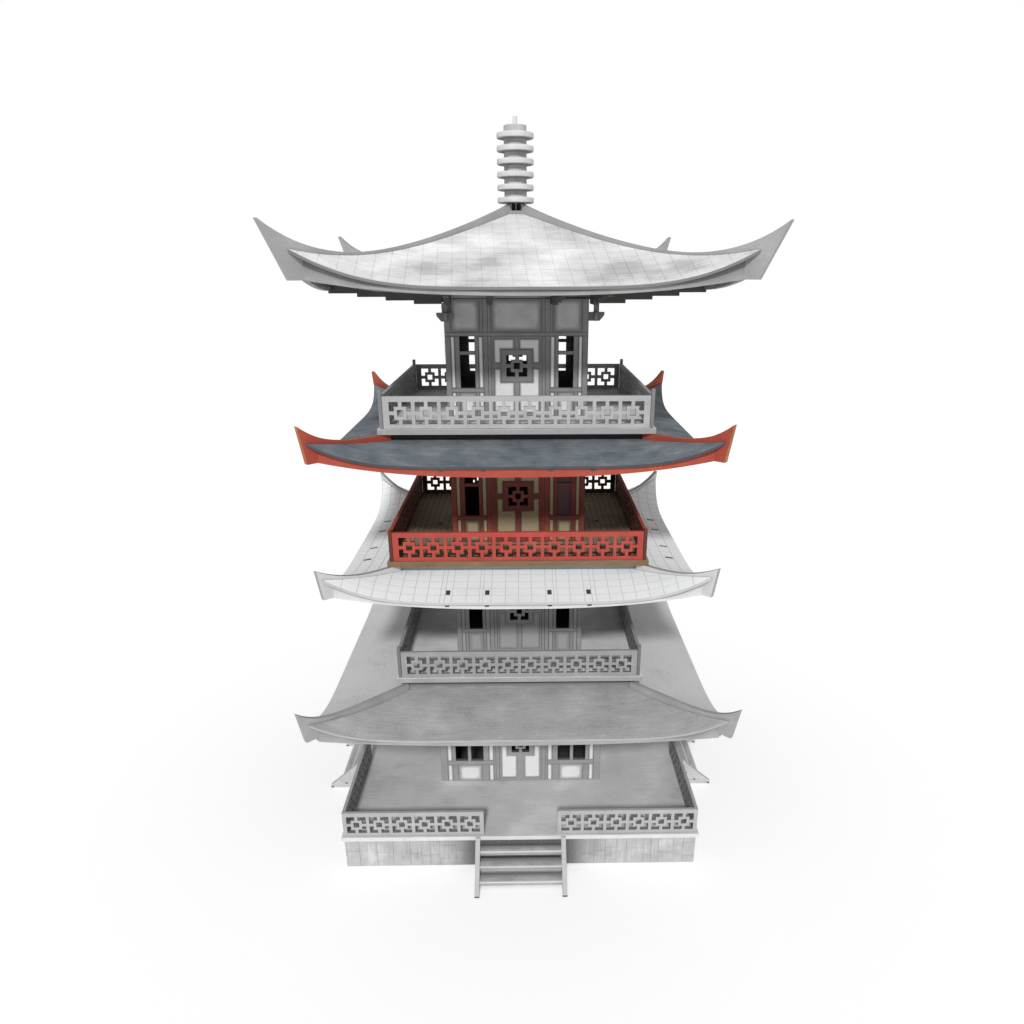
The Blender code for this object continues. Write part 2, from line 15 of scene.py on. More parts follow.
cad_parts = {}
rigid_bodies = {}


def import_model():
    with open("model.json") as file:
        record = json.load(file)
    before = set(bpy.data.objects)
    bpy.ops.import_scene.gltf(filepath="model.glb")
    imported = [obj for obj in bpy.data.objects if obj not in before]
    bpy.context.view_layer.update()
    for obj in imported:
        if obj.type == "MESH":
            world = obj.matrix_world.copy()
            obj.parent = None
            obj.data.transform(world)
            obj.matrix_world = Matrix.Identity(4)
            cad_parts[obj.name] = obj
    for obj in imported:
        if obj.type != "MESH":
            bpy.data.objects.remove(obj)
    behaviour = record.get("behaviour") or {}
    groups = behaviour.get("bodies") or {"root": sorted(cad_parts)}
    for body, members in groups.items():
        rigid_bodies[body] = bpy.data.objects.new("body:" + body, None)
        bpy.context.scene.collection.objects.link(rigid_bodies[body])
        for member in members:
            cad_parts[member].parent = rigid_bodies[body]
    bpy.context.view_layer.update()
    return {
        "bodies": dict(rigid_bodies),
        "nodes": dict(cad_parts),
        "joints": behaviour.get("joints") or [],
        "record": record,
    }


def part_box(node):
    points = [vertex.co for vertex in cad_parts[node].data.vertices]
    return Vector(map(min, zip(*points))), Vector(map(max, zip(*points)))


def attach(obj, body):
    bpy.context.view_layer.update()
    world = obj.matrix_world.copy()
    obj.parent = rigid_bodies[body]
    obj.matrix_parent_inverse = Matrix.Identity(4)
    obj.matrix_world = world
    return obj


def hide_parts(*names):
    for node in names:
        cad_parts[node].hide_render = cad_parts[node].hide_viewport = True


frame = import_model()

MM = 0.001
SIDES = ("front", "right", "back", "left")
STOREYS = (1, 2, 3, 4)
COLOURED = 3             # the storey that is painted in colour
QUARTER = math.pi / 2

# Sheets and fits, as the solids have them
SHEET = 3.0
WALL_SHEET = 2.0
SHINGLE_SHEET = 1.5
FIT = 0.3

# Relief of the cut work
RELIEF = 0.3             # plates over the board that carries them
SINK = 0.1               # how far a plate is let into its board
GROOVE = 0.3             # engraved line between two plates
CORNER_POINTS = (0.0, 0.25, 0.5, 0.75, 1.0)   # places of the points on a rounded corner
BORDER_SHARE = 0.3       # most that a soft border takes of a plate's width
CORNER_SHARE = 0.45      # most that a rounded corner takes of what the border leaves

# Fences
FRET_PITCH = 15.0
FRET_SIZE = 12.5
FRET_ARM = 2.8           # width of a fret's corner holes
FRET_BAR = 2.1           # between them
FRET_HEART = 3.7         # its middle hole
KERF = 0.2               # what the cutter burns away on each side of a fret
FENCE_FOOT_RAIL = 2.7
LEAST_FENCE_END = 1.5
FENCE_HEIGHT = 18.5
POST_WIDTH = 3.0
POST_RISE = {2: 3.5, 3: 1.5, 4: 3.5}

# Paint numbers, in the order of a piece's material slots
FACE, EDGE, BACK, PANEL, LINE = range(5)
BOTH_SIDES = (FACE, EDGE, FACE)      # a board's two faces painted alike
ALL_BACK = (BACK, BACK, BACK)
ALL_LINE = (LINE, LINE, LINE)


def box_mm(node):
    """Lowest and highest corner of a solid, in millimetres."""
    low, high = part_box(node)
    return low / MM, high / MM


def deck_node(level):
    """Name of the deck that a storey stands on."""
    return "ground_deck" if level == 1 else f"balcony_{level}_deck"


DECK_BOX = {level: box_mm(deck_node(level)) for level in STOREYS}
WALL_BOX = {level: box_mm(f"storey_{level}_front_wall") for level in STOREYS}
DECK_TOP = {level: high.z for level, (_, high) in DECK_BOX.items()}
DECK_HALF = {level: high.x for level, (_, high) in DECK_BOX.items()}
WALL_FOOT = {level: low.z for level, (low, _) in WALL_BOX.items()}
WALL_HEAD = {level: high.z for level, (_, high) in WALL_BOX.items()}
WALL_HALF = {level: high.x for level, (_, high) in WALL_BOX.items()}
CEILING_FOOT = {level: WALL_HEAD[level] + FIT for level in STOREYS}


class Roof(NamedTuple):
    """One roof, with the names and meanings that the part's source gives them."""
    top: float               # height of the panels at their inner edge
    inner: float             # half width of the curb or cap that the panels start from
    eave_half: float
    eave_drop: float
    corner_lift: float
    lift_reach_power: float  # how late the lift sets in on the way out
    lift_across_power: float     # how late it sets in along the eave
    flare: float             # how far a panel's corners are drawn out in plan
    tip_reach: float
    tip_rise: float
    tip_lean: float
    hip_foot_rise: float
    hip_dip: float
    sweep_power: float
    fascia_depth: float
    fascia_foot_lift: float
    curb_height: float
    turn: float


CURB_HALF = 75.0
CAP_HALF = 6.8
SAG = 0.12               # how much a side hangs through between its edges
FLARE_ROUNDS = 6         # rounds that find the flat place of a flared one
HIP_LIFT = 16.1          # of the top roof's hips at the eave
HIP_LIFT_POWER = 4.0
HIP_STAND = 2.0          # of these hips over the panels
HIP_FOOT_LENGTH = 5.8    # level end of a hip board's underside
FOOT_LIFT_POWER = 2.6    # how late a fascia's foot lifts towards the corners
FASCIA_INSET = 3.0       # from the eave in
APEX_STAND = 47.0        # top roof over the foot of its ceiling
TOP_TURN = math.radians(3.5)
RAFTER_PLACES = (-42.5, -19.0, 19.0, 42.5)
RAFTER_STEPS = 4
RAFTER_FOOT_DROP = 3.2   # how far a rafter reaches under its ceiling
RAFTER_RISE = 6.0        # least rise of its steps


def curb_foot(level, curb_height):
    """Height of a curb's foot, which is the top of its roof's panels."""
    return DECK_TOP[level + 1] - SHEET - FIT - curb_height


ROOFS = {
    1: Roof(curb_foot(1, 7.6), CURB_HALF, 127.0, 7.4, 16.4, 1.8, 6.7, 3.7, 6.3, 23.5, 2.9,
            2.2, 3.5, 5.5, 3.8, 4.3, 7.6, 0.0),
    2: Roof(curb_foot(2, 4.3), CURB_HALF, 112.5, 6.6, 18.6, 1.25, 5.1, 4.0, 4.3, 22.3, 2.3,
            3.5, 0.0, 2.5, 3.6, 8.1, 4.3, 0.0),
    3: Roof(curb_foot(3, 3.9), CURB_HALF, 113.0, 7.3, 16.0, 1.15, 5.6, 4.1, 4.9, 23.5, 2.7,
            2.2, 0.0, 3.4, 5.3, 8.8, 3.9, 0.0),
    4: Roof(CEILING_FOOT[4] + APEX_STAND, CAP_HALF, 115.0, 39.0, 19.1, 3.65, 4.4, 4.9, 13.4, 30.5, 10.1,
            3.0, 0.0, 7.0, 3.6, 7.7, 0.0, TOP_TURN),
}


def reach_out(roof, out):
    """Share of the way from a panel's inner edge to its eave."""
    return (out - roof.inner) / (roof.eave_half - roof.inner)


def plain_height(roof, out):
    """Height of the middle of a side's upper face."""
    reach = reach_out(roof, out)
    return roof.top - roof.eave_drop * (reach + SAG * reach * (1.0 - reach))


def corner_share(roof, out, across):
    """Share of the corner's lift and flare that a place on the flat plan takes."""
    reach = max(reach_out(roof, out), 0.0)
    return reach ** roof.lift_reach_power * abs(across / out) ** roof.lift_across_power


def panel_height(roof, out, across):
    """Height of the roof's upper face over a place out from the middle and across the side."""
    stretch = 1.0
    for _ in range(FLARE_ROUNDS):
        stretch = 1.0 + roof.flare * corner_share(roof, out / stretch, across / stretch) / (out / stretch)
    share = corner_share(roof, out / stretch, across / stretch)
    return plain_height(roof, out / stretch) + roof.corner_lift * share


def hip_height(roof, out):
    """Height that the top roof's hips follow, under their stand over the panels."""
    return plain_height(roof, out) + HIP_LIFT * reach_out(roof, out) ** HIP_LIFT_POWER


def frame_top(roof, out, across):
    """Height that the frame reaches under the panels."""
    return panel_height(roof, max(out, roof.inner), across) - SHINGLE_SHEET - FIT


def eave_height(roof):
    """Height of the middle of an eave."""
    return roof.top - roof.eave_drop


# Outlines


def rectangle(left, right, foot, head):
    """Outline of a rectangle, counter-clockwise."""
    return [(left, foot), (right, foot), (right, head), (left, head)]


def strip(middle, width, foot, head):
    """A rectangle about an upright middle line."""
    return rectangle(middle - width / 2, middle + width / 2, foot, head)


def square(half, middle=0.0):
    """A square about the upright axis, with its middle at a height."""
    return rectangle(-half, half, middle - half, middle + half)


def shrunk(outline, depth):
    """An outline moved inwards all round; it runs counter-clockwise."""
    result = []
    for before, here, after in zip(outline[-1:] + outline[:-1], outline, outline[1:] + outline[:1]):
        entering = (Vector(here) - Vector(before)).normalized()
        leaving = (Vector(after) - Vector(here)).normalized()
        first = Vector((-entering.y, entering.x))
        second = Vector((-leaving.y, leaving.x))
        step = (first + second) / (1.0 + first.dot(second)) * depth
        result.append((here[0] + step.x, here[1] + step.y))
    return result


def rounded(outline, radius):
    """An outline whose corners are cut by short curves."""
    result = []
    for before, here, after in zip(outline[-1:] + outline[:-1], outline, outline[1:] + outline[:1]):
        corner = Vector(here)
        start = corner + (Vector(before) - corner).normalized() * radius
        end = corner + (Vector(after) - corner).normalized() * radius
        for share in CORNER_POINTS:
            point = start.lerp(corner, share).lerp(corner.lerp(end, share), share)
            result.append((point.x, point.y))
    return result


def mirrored(outline):
    """The same outline on the other side of the middle."""
    return [(-across, up) for across, up in outline[::-1]]


def signed_area(ring):
    """Area of a ring, negative where it runs clockwise."""
    return sum(a[0] * b[1] - b[0] * a[1] for a, b in zip(ring, ring[1:] + ring[:1])) / 2


def narrowest(outline):
    """Shortest side of an outline."""
    return min((Vector(a) - Vector(b)).length for a, b in zip(outline, outline[1:] + outline[:1]))


def fret_holes(middle_x, middle_y):
    """The five holes of one fret: an L at each corner and a square in the middle."""
    far = FRET_SIZE / 2 + KERF
    near, bar, heart = far - FRET_ARM, FRET_BAR / 2, FRET_HEART / 2
    corner = [(-far, -far), (-bar, -far), (-bar, -near), (-near, -near), (-near, -bar), (-far, -bar)]
    holes = [rectangle(-heart, heart, -heart, heart)]
    for turn in range(4):
        cosine, sine = round(math.cos(turn * QUARTER)), round(math.sin(turn * QUARTER))
        holes.append([(x * cosine - y * sine, x * sine + y * cosine) for x, y in corner])
    return [[(x + middle_x, y + middle_y) for x, y in hole] for hole in holes]


# Meshes in the making


class Draft:
    """Points with their place on the board, a shade and a tone; faces with a paint number.

    The shade is 1 in the soft middle of a plate and 0 at its border. The tone makes a place
    lighter or darker, from -1 to 1, mostly as painted light and shade; below -1 a soft painted
    shade comes over it.
    """

    def __init__(self):
        self.points, self.places, self.shades, self.tones = [], [], [], []
        self.faces, self.paints = [], []

    def add(self, points, faces, paint, shades=None, tone=0.0):
        """Adds points that lie where they are on the board, and faces over them."""
        start = len(self.points)
        self.points += [Vector(point) for point in points]
        self.places += [(point[0], point[1]) for point in points]
        self.shades += shades or [0.0] * len(points)
        self.tones += [tone] * len(points)
        self.faces += [[start + n for n in face] for face in faces]
        self.paints += [paint] * len(faces)

    def toned(self, tone):
        """The draft with a tone for each point, worked out from where it lies on its board."""
        self.tones = [tone(*place) for place in self.places]
        return self

    def join(self, other, matrix=Matrix.Identity(4)):
        """The draft with another one added to it, put in place by a matrix."""
        start = len(self.points)
        self.points += [matrix @ point for point in other.points]
        self.places += other.places
        self.shades += other.shades
        self.tones += other.tones
        self.faces += [[start + n for n in face] for face in other.faces]
        self.paints += other.paints
        return self

    def placed(self, matrix):
        """A copy of the draft, put in place by a matrix."""
        return Draft().join(self, matrix)

    def mesh(self, name):
        """The draft as a mesh that carries its places, shades and tones."""
        mesh = bpy.data.meshes.new(name)
        mesh.from_pydata(self.points, [], self.faces)
        mesh.polygons.foreach_set("material_index", self.paints)
        places = mesh.uv_layers.new(name="place")
        for loop in mesh.loops:
            places.uv[loop.index].vector = self.places[loop.vertex_index]
        for label, values in (("shade", self.shades), ("tone", self.tones)):
            mesh.attributes.new(label, "FLOAT", "POINT").data.foreach_set("value", values)
        return mesh


def board(outline, holes=(), thickness=SHEET, middle=0.0, paints=(FACE, EDGE, BACK), tone=0.0):
    """A closed board with holes cut through it, its middle plane at a height along local Z."""
    rings = [outline if signed_area(outline) > 0 else outline[::-1]]
    rings += [hole if signed_area(hole) < 0 else hole[::-1] for hole in holes]
    flat = [point for ring in rings for point in ring]
    if holes:
        caps = tessellate_polygon([[Vector((x, y, 0.0)) for x, y in ring] for ring in rings])
        caps = [cap if signed_area([flat[n] for n in cap]) > 0 else cap[::-1] for cap in caps]
    else:
        caps = [range(len(flat))]
    count = len(flat)
    over, under = middle + thickness / 2, middle - thickness / 2
    face, edge, back = paints
    draft = Draft()
    draft.add([(x, y, over) for x, y in flat] + [(x, y, under) for x, y in flat], [], face, tone=tone)
    sides = []
    start = 0
    for ring in rings:
        for n in range(len(ring)):
            here, after = start + n, start + (n + 1) % len(ring)
            sides.append([here + count, after + count, after, here])
        start += len(ring)
    lower_caps = [[n + count for n in cap][::-1] for cap in caps]
    for faces, paint in ((caps, face), (sides, edge), (lower_caps, back)):
        draft.faces += [list(corners) for corners in faces]
        draft.paints += [paint] * len(faces)
    return draft


def plate(outline, foot, head, border, paint, tone=0.0, corner=1.0):
    """A raised plate whose soft middle lies a border in from its edge and has rounded corners."""
    border = min(border, BORDER_SHARE * narrowest(outline))
    inner = shrunk(outline, border)
    inner = rounded(inner, min(corner * border, CORNER_SHARE * narrowest(inner)))
    count = len(outline)
    per_corner = len(CORNER_POINTS)
    points = [(x, y, foot) for x, y in outline] + [(x, y, head) for x, y in outline]
    points += [(x, y, head) for x, y in inner]
    faces = [list(range(count))[::-1], list(range(2 * count, 2 * count + len(inner)))]
    for n in range(count):
        after = (n + 1) % count
        arc = [2 * count + n * per_corner + k for k in range(per_corner)]
        next_arc = 2 * count + after * per_corner
        faces.append([n, after, after + count, n + count])
        faces += [[n + count, second, first] for first, second in zip(arc, arc[1:])]
        faces.append([n + count, after + count, next_arc, arc[-1]])
    draft = Draft()
    draft.add(points, faces, paint, [0.0] * (2 * count) + [1.0] * len(inner), tone)
    return draft


def put(name, data):
    """A new object in the scene."""
    thing = bpy.data.objects.new(name, data)
    bpy.context.scene.collection.objects.link(thing)
    return thing


def stand(quarter, out, foot):
    """Place of a board on one side, its local Z looking outwards."""
    upright = Matrix.Translation((0.0, -out, foot)) @ Matrix.Rotation(QUARTER, 4, "X")
    return Matrix.Rotation(quarter * QUARTER, 4, "Z") @ upright


# Node trees


class Value:
    """A number that a node tree works out. Arithmetic on it adds the Math nodes."""

    def __init__(self, graph, socket):
        self.graph, self.socket = graph, socket

    def __add__(self, other):
        return self.graph.math("ADD", self, other)

    def __sub__(self, other):
        return self.graph.math("SUBTRACT", self, other)

    def __mul__(self, other):
        return self.graph.math("MULTIPLY", self, other)

    def __truediv__(self, other):
        return self.graph.math("DIVIDE", self, other)

    def __pow__(self, other):
        return self.graph.math("POWER", self, other)

    def __rsub__(self, other):
        return self.graph.math("SUBTRACT", other, self)

    def __abs__(self):
        return self.graph.math("ABSOLUTE", self)

    __radd__ = __add__
    __rmul__ = __mul__


class Graph:
    """A node tree under construction."""

    def __init__(self, tree):
        self.tree = tree

    def node(self, kind, settings=None, inputs=None):
        """A node with its settings made first, and then its sockets' values or links."""
        node = self.tree.nodes.new(kind)
        for name, setting in (settings or {}).items():
            setattr(node, name, setting)
        for key, value in (inputs or {}).items():
            if isinstance(value, Value):
                self.tree.links.new(value.socket, node.inputs[key])
            else:
                node.inputs[key].default_value = value
        return node

    def add(self, kind, settings=None, inputs=None, output=0):
        """One output of a new node."""
        return Value(self, self.node(kind, settings, inputs).outputs[output])

    def math(self, operation, *values):
        """A Math node; its values are numbers or what other nodes give."""
        return self.add("ShaderNodeMath", {"operation": operation}, dict(enumerate(values)))

    def smooth(self, value, low, high):
        """0 below low and 1 above high, with a soft step between."""
        settings = {"interpolation_type": "SMOOTHSTEP"}
        inputs = {"Value": value, "From Min": low, "From Max": high}
        return self.add("ShaderNodeMapRange", settings, inputs)

    def mix(self, factor, first, second):
        """A colour between two colours."""
        inputs = {0: factor, 6: first, 7: second}
        return self.add("ShaderNodeMix", {"data_type": "RGBA"}, inputs, 2)

    def stretched(self, vector, across, up, through=1.0):
        """A vector with its parts scaled, for a pattern that is longer one way."""
        return self.add("ShaderNodeVectorMath", {"operation": "MULTIPLY"},
                        {0: vector, 1: (across, up, through)})

    def noise(self, vector, scale, detail=3.0, roughness=0.55):
        """A cloudy pattern about 0.5."""
        return self.add("ShaderNodeTexNoise", {"noise_dimensions": "3D"},
                        {"Vector": vector, "Scale": scale, "Detail": detail, "Roughness": roughness})


UPWARDS = (0.0, 0.0, 1.0)
WELD = 0.001             # points nearer than this are one


class ShapeTree(Graph):
    """A Geometry Nodes tree with named inputs."""

    def __init__(self, name):
        super().__init__(bpy.data.node_groups.new(name, "GeometryNodeTree"))
        for way in ("INPUT", "OUTPUT"):
            self.tree.interface.new_socket("Geometry", in_out=way, socket_type="NodeSocketGeometry")
        self.entrance = self.node("NodeGroupInput")
        self.geometry = Value(self, self.entrance.outputs["Geometry"])

    def entry(self, name, kind="Float"):
        """A named input of the tree."""
        self.tree.interface.new_socket(name, in_out="INPUT", socket_type=f"NodeSocket{kind}")
        return Value(self, self.entrance.outputs[name])

    def joined(self, *parts):
        """All parts as one geometry."""
        join = self.node("GeometryNodeJoinGeometry")
        for part in parts:
            self.tree.links.new(part.socket, join.inputs[0])
        return Value(self, join.outputs[0])

    def thick(self, faces, sheet, paints):
        """Closed boards from flat faces, thickened upwards; their three paints end the tree."""
        inputs = {"Mesh": faces, "Offset": UPWARDS, "Offset Scale": sheet, "Individual": False}
        grown = self.node("GeometryNodeExtrudeMesh", {"mode": "FACES"}, inputs)
        base = self.add("GeometryNodeFlipFaces", inputs={"Mesh": faces})
        solid = self.joined(Value(self, grown.outputs["Mesh"]), base)
        solid = self.add("GeometryNodeMergeByDistance", inputs={"Geometry": solid, "Distance": WELD})
        face, edge, back = paints
        chosen = {face: Value(self, grown.outputs["Top"]), edge: Value(self, grown.outputs["Side"])}
        solid = self.add("GeometryNodeSetMaterial", inputs={"Geometry": solid, "Material": back})
        for paint, selection in chosen.items():
            inputs = {"Geometry": solid, "Selection": selection, "Material": paint}
            solid = self.add("GeometryNodeSetMaterial", inputs=inputs)
        return solid

    def finish(self, geometry):
        """Leads a geometry to the end of the tree."""
        realized = self.add("GeometryNodeRealizeInstances", inputs={"Geometry": geometry})
        self.node("NodeGroupOutput", inputs={"Geometry": realized})


def pierced_fence_tree():
    """A fence: the outline in the geometry, with a row of frets cut out of it."""
    tree = ShapeTree("pierced fence")
    fret = tree.entry("Fret", "Object")
    first, foot, pitch = tree.entry("First"), tree.entry("Foot"), tree.entry("Pitch")
    count, sheet = tree.entry("Count", "Int"), tree.entry("Sheet")
    paints = [tree.entry(name, "Material") for name in ("Face", "Edge", "Back")]
    start = tree.add("ShaderNodeCombineXYZ", inputs={"X": first, "Y": foot})
    step = tree.add("ShaderNodeCombineXYZ", inputs={"X": pitch})
    line = tree.add("GeometryNodeMeshLine", {"mode": "OFFSET"},
                    {"Count": count, "Start Location": start, "Offset": step})
    motif = tree.add("GeometryNodeObjectInfo", inputs={"Object": fret}, output="Geometry")
    frets = tree.add("GeometryNodeInstanceOnPoints", inputs={"Points": line, "Instance": motif})
    frets = tree.add("GeometryNodeRealizeInstances", inputs={"Geometry": frets})
    curves = tree.add("GeometryNodeMeshToCurve", inputs={"Mesh": tree.joined(tree.geometry, frets)})
    filled = tree.add("GeometryNodeFillCurve", {"mode": "TRIANGLES"}, {"Curve": curves})
    place = tree.add("GeometryNodeInputPosition")
    filled = tree.add("GeometryNodeStoreNamedAttribute", {"data_type": "FLOAT2", "domain": "CORNER"},
                      {"Geometry": filled, "Name": "place", "Value": place})
    tree.finish(tree.thick(filled, sheet, paints))
    return tree.tree


def bent_roof_tree():
    """Flat faces laid over a roof's curve, thickened, and repeated on its four sides."""
    tree = ShapeTree("bent roof")
    inner, eave_half = tree.entry("Inner"), tree.entry("Eave Half")
    top, drop, corner_lift = tree.entry("Top"), tree.entry("Drop"), tree.entry("Corner Lift")
    reach_power, across_power = tree.entry("Reach Power"), tree.entry("Across Power")
    flare, rise, sheet = tree.entry("Flare"), tree.entry("Rise"), tree.entry("Sheet")
    fineness = tree.entry("Fineness", "Int")
    paints = [tree.entry(name, "Material") for name in ("Face", "Edge", "Back")]
    fine = tree.add("GeometryNodeSubdivideMesh", inputs={"Mesh": tree.geometry, "Level": fineness})
    position = tree.add("GeometryNodeInputPosition")
    across = tree.add("ShaderNodeSeparateXYZ", inputs={0: position}, output="X")
    ahead = tree.add("ShaderNodeSeparateXYZ", inputs={0: position}, output="Y")
    out = tree.math("MAXIMUM", 0.0 - ahead, inner)
    reach = (out - inner) / (eave_half - inner)
    fall = reach + SAG * reach * (1.0 - reach)
    share = reach ** reach_power * abs(across / out) ** across_power
    stretch = flare * share / out + 1.0
    height = top - drop * fall + corner_lift * share + rise - sheet
    inputs = {"X": across * stretch, "Y": ahead * stretch, "Z": height}
    bent = tree.add("ShaderNodeCombineXYZ", inputs=inputs)
    faces = tree.add("GeometryNodeSetPosition", inputs={"Geometry": fine, "Position": bent})
    side = tree.thick(faces, sheet, paints)
    turned = []
    for quarter in range(len(SIDES)):
        inputs = {"Geometry": side, "Rotation": (0.0, 0.0, quarter * QUARTER)}
        turned.append(tree.add("GeometryNodeTransform", inputs=inputs))
    tree.finish(tree.joined(*turned))
    return tree.tree


def shaped(source, tree, values):
    """The plain mesh that a tree makes from a source mesh."""
    carrier = put("carrier", source)
    modifier = carrier.modifiers.new("shape", "NODES")
    modifier.node_group = tree
    for item in tree.interface.items_tree:
        if item.item_type == "SOCKET" and item.in_out == "INPUT" and item.name in values:
            modifier[item.identifier] = values[item.name]
    depsgraph = bpy.context.evaluated_depsgraph_get()
    mesh = bpy.data.meshes.new_from_object(carrier.evaluated_get(depsgraph))
    bpy.data.objects.remove(carrier, do_unlink=True)
    return mesh


def outline_mesh(rings):
    """Closed loops of edges, for a tree to fill."""
    points, edges = [], []
    for ring in rings:
        start = len(points)
        points += [(x, y, 0.0) for x, y in ring]
        edges += [(start + n, start + (n + 1) % len(ring)) for n in range(len(ring))]
    mesh = bpy.data.meshes.new("outline")
    mesh.from_pydata(points, edges, [])
    return mesh


# Paints


def srgb(red, green, blue):
    """Linear colour of a display colour's bytes."""
    shares = [byte / 255 for byte in (red, green, blue)]
    linear = [s / 12.92 if s <= 0.04045 else ((s + 0.055) / 1.055) ** 2.4 for s in shares]
    return (*linear, 1.0)


def grey(byte, warmth=0):
    """Linear colour of a grey, a little warm where that is given."""
    return srgb(byte + warmth, byte, byte - warmth)


def shades(byte, spread=20, warmth=0):
    """Dark, main and light coat of a grey paint."""
    return tuple(grey(byte + step, warmth) for step in (-spread, 0, spread))


def coats(dark, main, light):
    """The three coats of a coloured paint, from display colours."""
    return srgb(*dark), srgb(*main), srgb(*light)


class Brushwork(NamedTuple):
    """How a paint lies on its board; sizes in millimetres."""
    patch: float = 24.0      # size of the cloudy patches
    cloud: float = 0.8       # how strongly they show
    streak: float = 0.3      # strokes along the board
    upright: bool = False    # strokes run up the board
    grain: float = 0.3       # fine specks of the board
    roughness: float = 0.78


TONE_WEIGHT = 0.22       # how much a place's tone changes the paint on it
PANEL_TONE_WEIGHT = 0.3
CLOUD_DETAIL = 4.0
SPECK_DETAIL = 2.0
SPECK = 1.1 * MM
PANEL_SPECK = 0.9 * MM
STROKE = (0.05, 0.9)     # strokes are long one way: how fast they change along and across
MAIN_COAT = (0.15, 0.5)  # levels over which the main coat takes the place of the dark one
LIGHT_COAT = (0.5, 0.85)
SIDE_COAT = (-0.6, 0.6)
SIDE_MIDDLE = 0.5 * MM   # half width of the soft line between a side and the front
PAINTED_SHADE_TONES = (1.0, 3.0)   # tones, downwards, over which the painted shade sets in
PAINTED_SHADE_DARKNESS = 0.38     # its colour, as a share of the dark coat's
PAINTED_SHADE_GRAIN = 0.6
PANEL_MAIN = (0.1, 0.85)
PANEL_HEART = (0.6, 1.1)
PANEL_CLOUD = 0.45
PANEL_GRAIN = 0.15
SPECK_ROUGHNESS = 0.12
STROKE_ROUGHNESS = 0.1
BUMP_STRENGTH = 0.3
BUMP_DEPTH = 0.1 * MM
BUMP_SHARE = 0.6


def new_paint(name):
    """A new material with its graph, and the place on the model that its patterns follow."""
    material = bpy.data.materials.new(name)
    material.use_nodes = True
    graph = Graph(material.node_tree)
    return material, graph, graph.add("ShaderNodeTexCoord", output="Object")


def carried(graph, label):
    """A number that the mesh carries in each of its points."""
    return graph.add("ShaderNodeAttribute", {"attribute_name": label}, output="Fac")


def finish_paint(material, graph, colour, roughness, height):
    """Gives a material its colour, roughness and fine relief."""
    inputs = {"Strength": BUMP_STRENGTH, "Distance": BUMP_DEPTH, "Height": height}
    relief = graph.add("ShaderNodeBump", inputs=inputs)
    shader = material.node_tree.nodes["Principled BSDF"]
    for name, value in (("Base Color", colour), ("Roughness", roughness), ("Normal", relief)):
        graph.tree.links.new(value.socket, shader.inputs[name])
    return material


def painted(name, coat_colours, work=Brushwork(), side_coat=None):
    """Board painted by hand: a thin dark coat, the main coat and dry-brushed lights.

    Where a side coat is given, the left and right sides of the model are brushed over with it.
    """
    dark, main, light = coat_colours
    material, graph, spot = new_paint(name)
    place = graph.add("ShaderNodeUVMap", {"uv_map": "place"})
    tone = carried(graph, "tone")
    cloud = graph.noise(spot, 1.0 / (work.patch * MM), CLOUD_DETAIL)
    stroke = STROKE[::-1] if work.upright else STROKE
    strokes = graph.noise(graph.stretched(place, *stroke), 1.0)
    specks = graph.noise(spot, 1.0 / SPECK, SPECK_DETAIL)
    level = (0.5 + work.cloud * (cloud - 0.5) + work.streak * (strokes - 0.5)
             + work.grain * (specks - 0.5) + TONE_WEIGHT * tone)
    colour = graph.mix(graph.smooth(level, *MAIN_COAT), dark, main)
    colour = graph.mix(graph.smooth(level, *LIGHT_COAT), colour, light)
    if side_coat:
        x = graph.add("ShaderNodeSeparateXYZ", inputs={0: spot}, output="X")
        y = graph.add("ShaderNodeSeparateXYZ", inputs={0: spot}, output="Y")
        beside = graph.smooth(abs(x) - abs(y), -SIDE_MIDDLE, SIDE_MIDDLE)
        colour = graph.mix(beside * graph.smooth(level, *SIDE_COAT), colour, side_coat)
    # painted shade: a tone below -1 darkens the paint towards a darker copy of its dark coat
    wash = tuple(PAINTED_SHADE_DARKNESS * part for part in dark[:3]) + (1.0,)
    shade_share = graph.smooth(0.0 - tone + PAINTED_SHADE_GRAIN * (specks - 0.5), *PAINTED_SHADE_TONES)
    colour = graph.mix(shade_share, colour, wash)
    roughness = work.roughness + SPECK_ROUGHNESS * (specks - 0.5) + STROKE_ROUGHNESS * (strokes - 0.5)
    height = BUMP_SHARE * specks + BUMP_SHARE * strokes
    return finish_paint(material, graph, colour, roughness, height)


def soft_panel(name, coat_colours, work=Brushwork()):
    """A wall panel sprayed pale in its middle, with a dark soft rim inside the frame."""
    border, middle, heart = coat_colours
    material, graph, spot = new_paint(name)
    shade, tone = carried(graph, "shade"), carried(graph, "tone")
    cloud = graph.noise(spot, 1.0 / (work.patch * MM), CLOUD_DETAIL)
    specks = graph.noise(spot, 1.0 / PANEL_SPECK, SPECK_DETAIL)
    reach = shade + PANEL_CLOUD * (cloud - 0.5) + PANEL_GRAIN * (specks - 0.5)
    reach = reach * (1.0 + PANEL_TONE_WEIGHT * tone)
    colour = graph.mix(graph.smooth(reach, *PANEL_MAIN), border, middle)
    colour = graph.mix(graph.smooth(reach, *PANEL_HEART), colour, heart)
    roughness = work.roughness + SPECK_ROUGHNESS * (specks - 0.5)
    return finish_paint(material, graph, colour, roughness, specks)


class Suit(NamedTuple):
    """The paints of one kind of piece, in the order of the paint numbers."""
    face: object
    edge: object
    back: object
    panel: object = None
    line: object = None


FENCE_GREYS = {1: (166, 158), 2: (147, 145), 4: (170, 158)}    # outer and inner face
FENCE_EDGE_SHADE = 34   # darker than the inner face: painted shade, so the lit edges of the holes look as dark as the shaded inner face
WALL_GREYS = {           # frame, its lines, then border, middle and heart of a panel, then the inside, painted darkest on the ground storey as the shade inside it
    1: (150, 88, 152, 200, 226, 40),
    2: (142, 54, 134, 148, 158, 90),
    4: (134, 72, 122, 182, 226, 124),
}

BURNT = "burnt_edge"
SHADOW = "inside_shadow_grey"

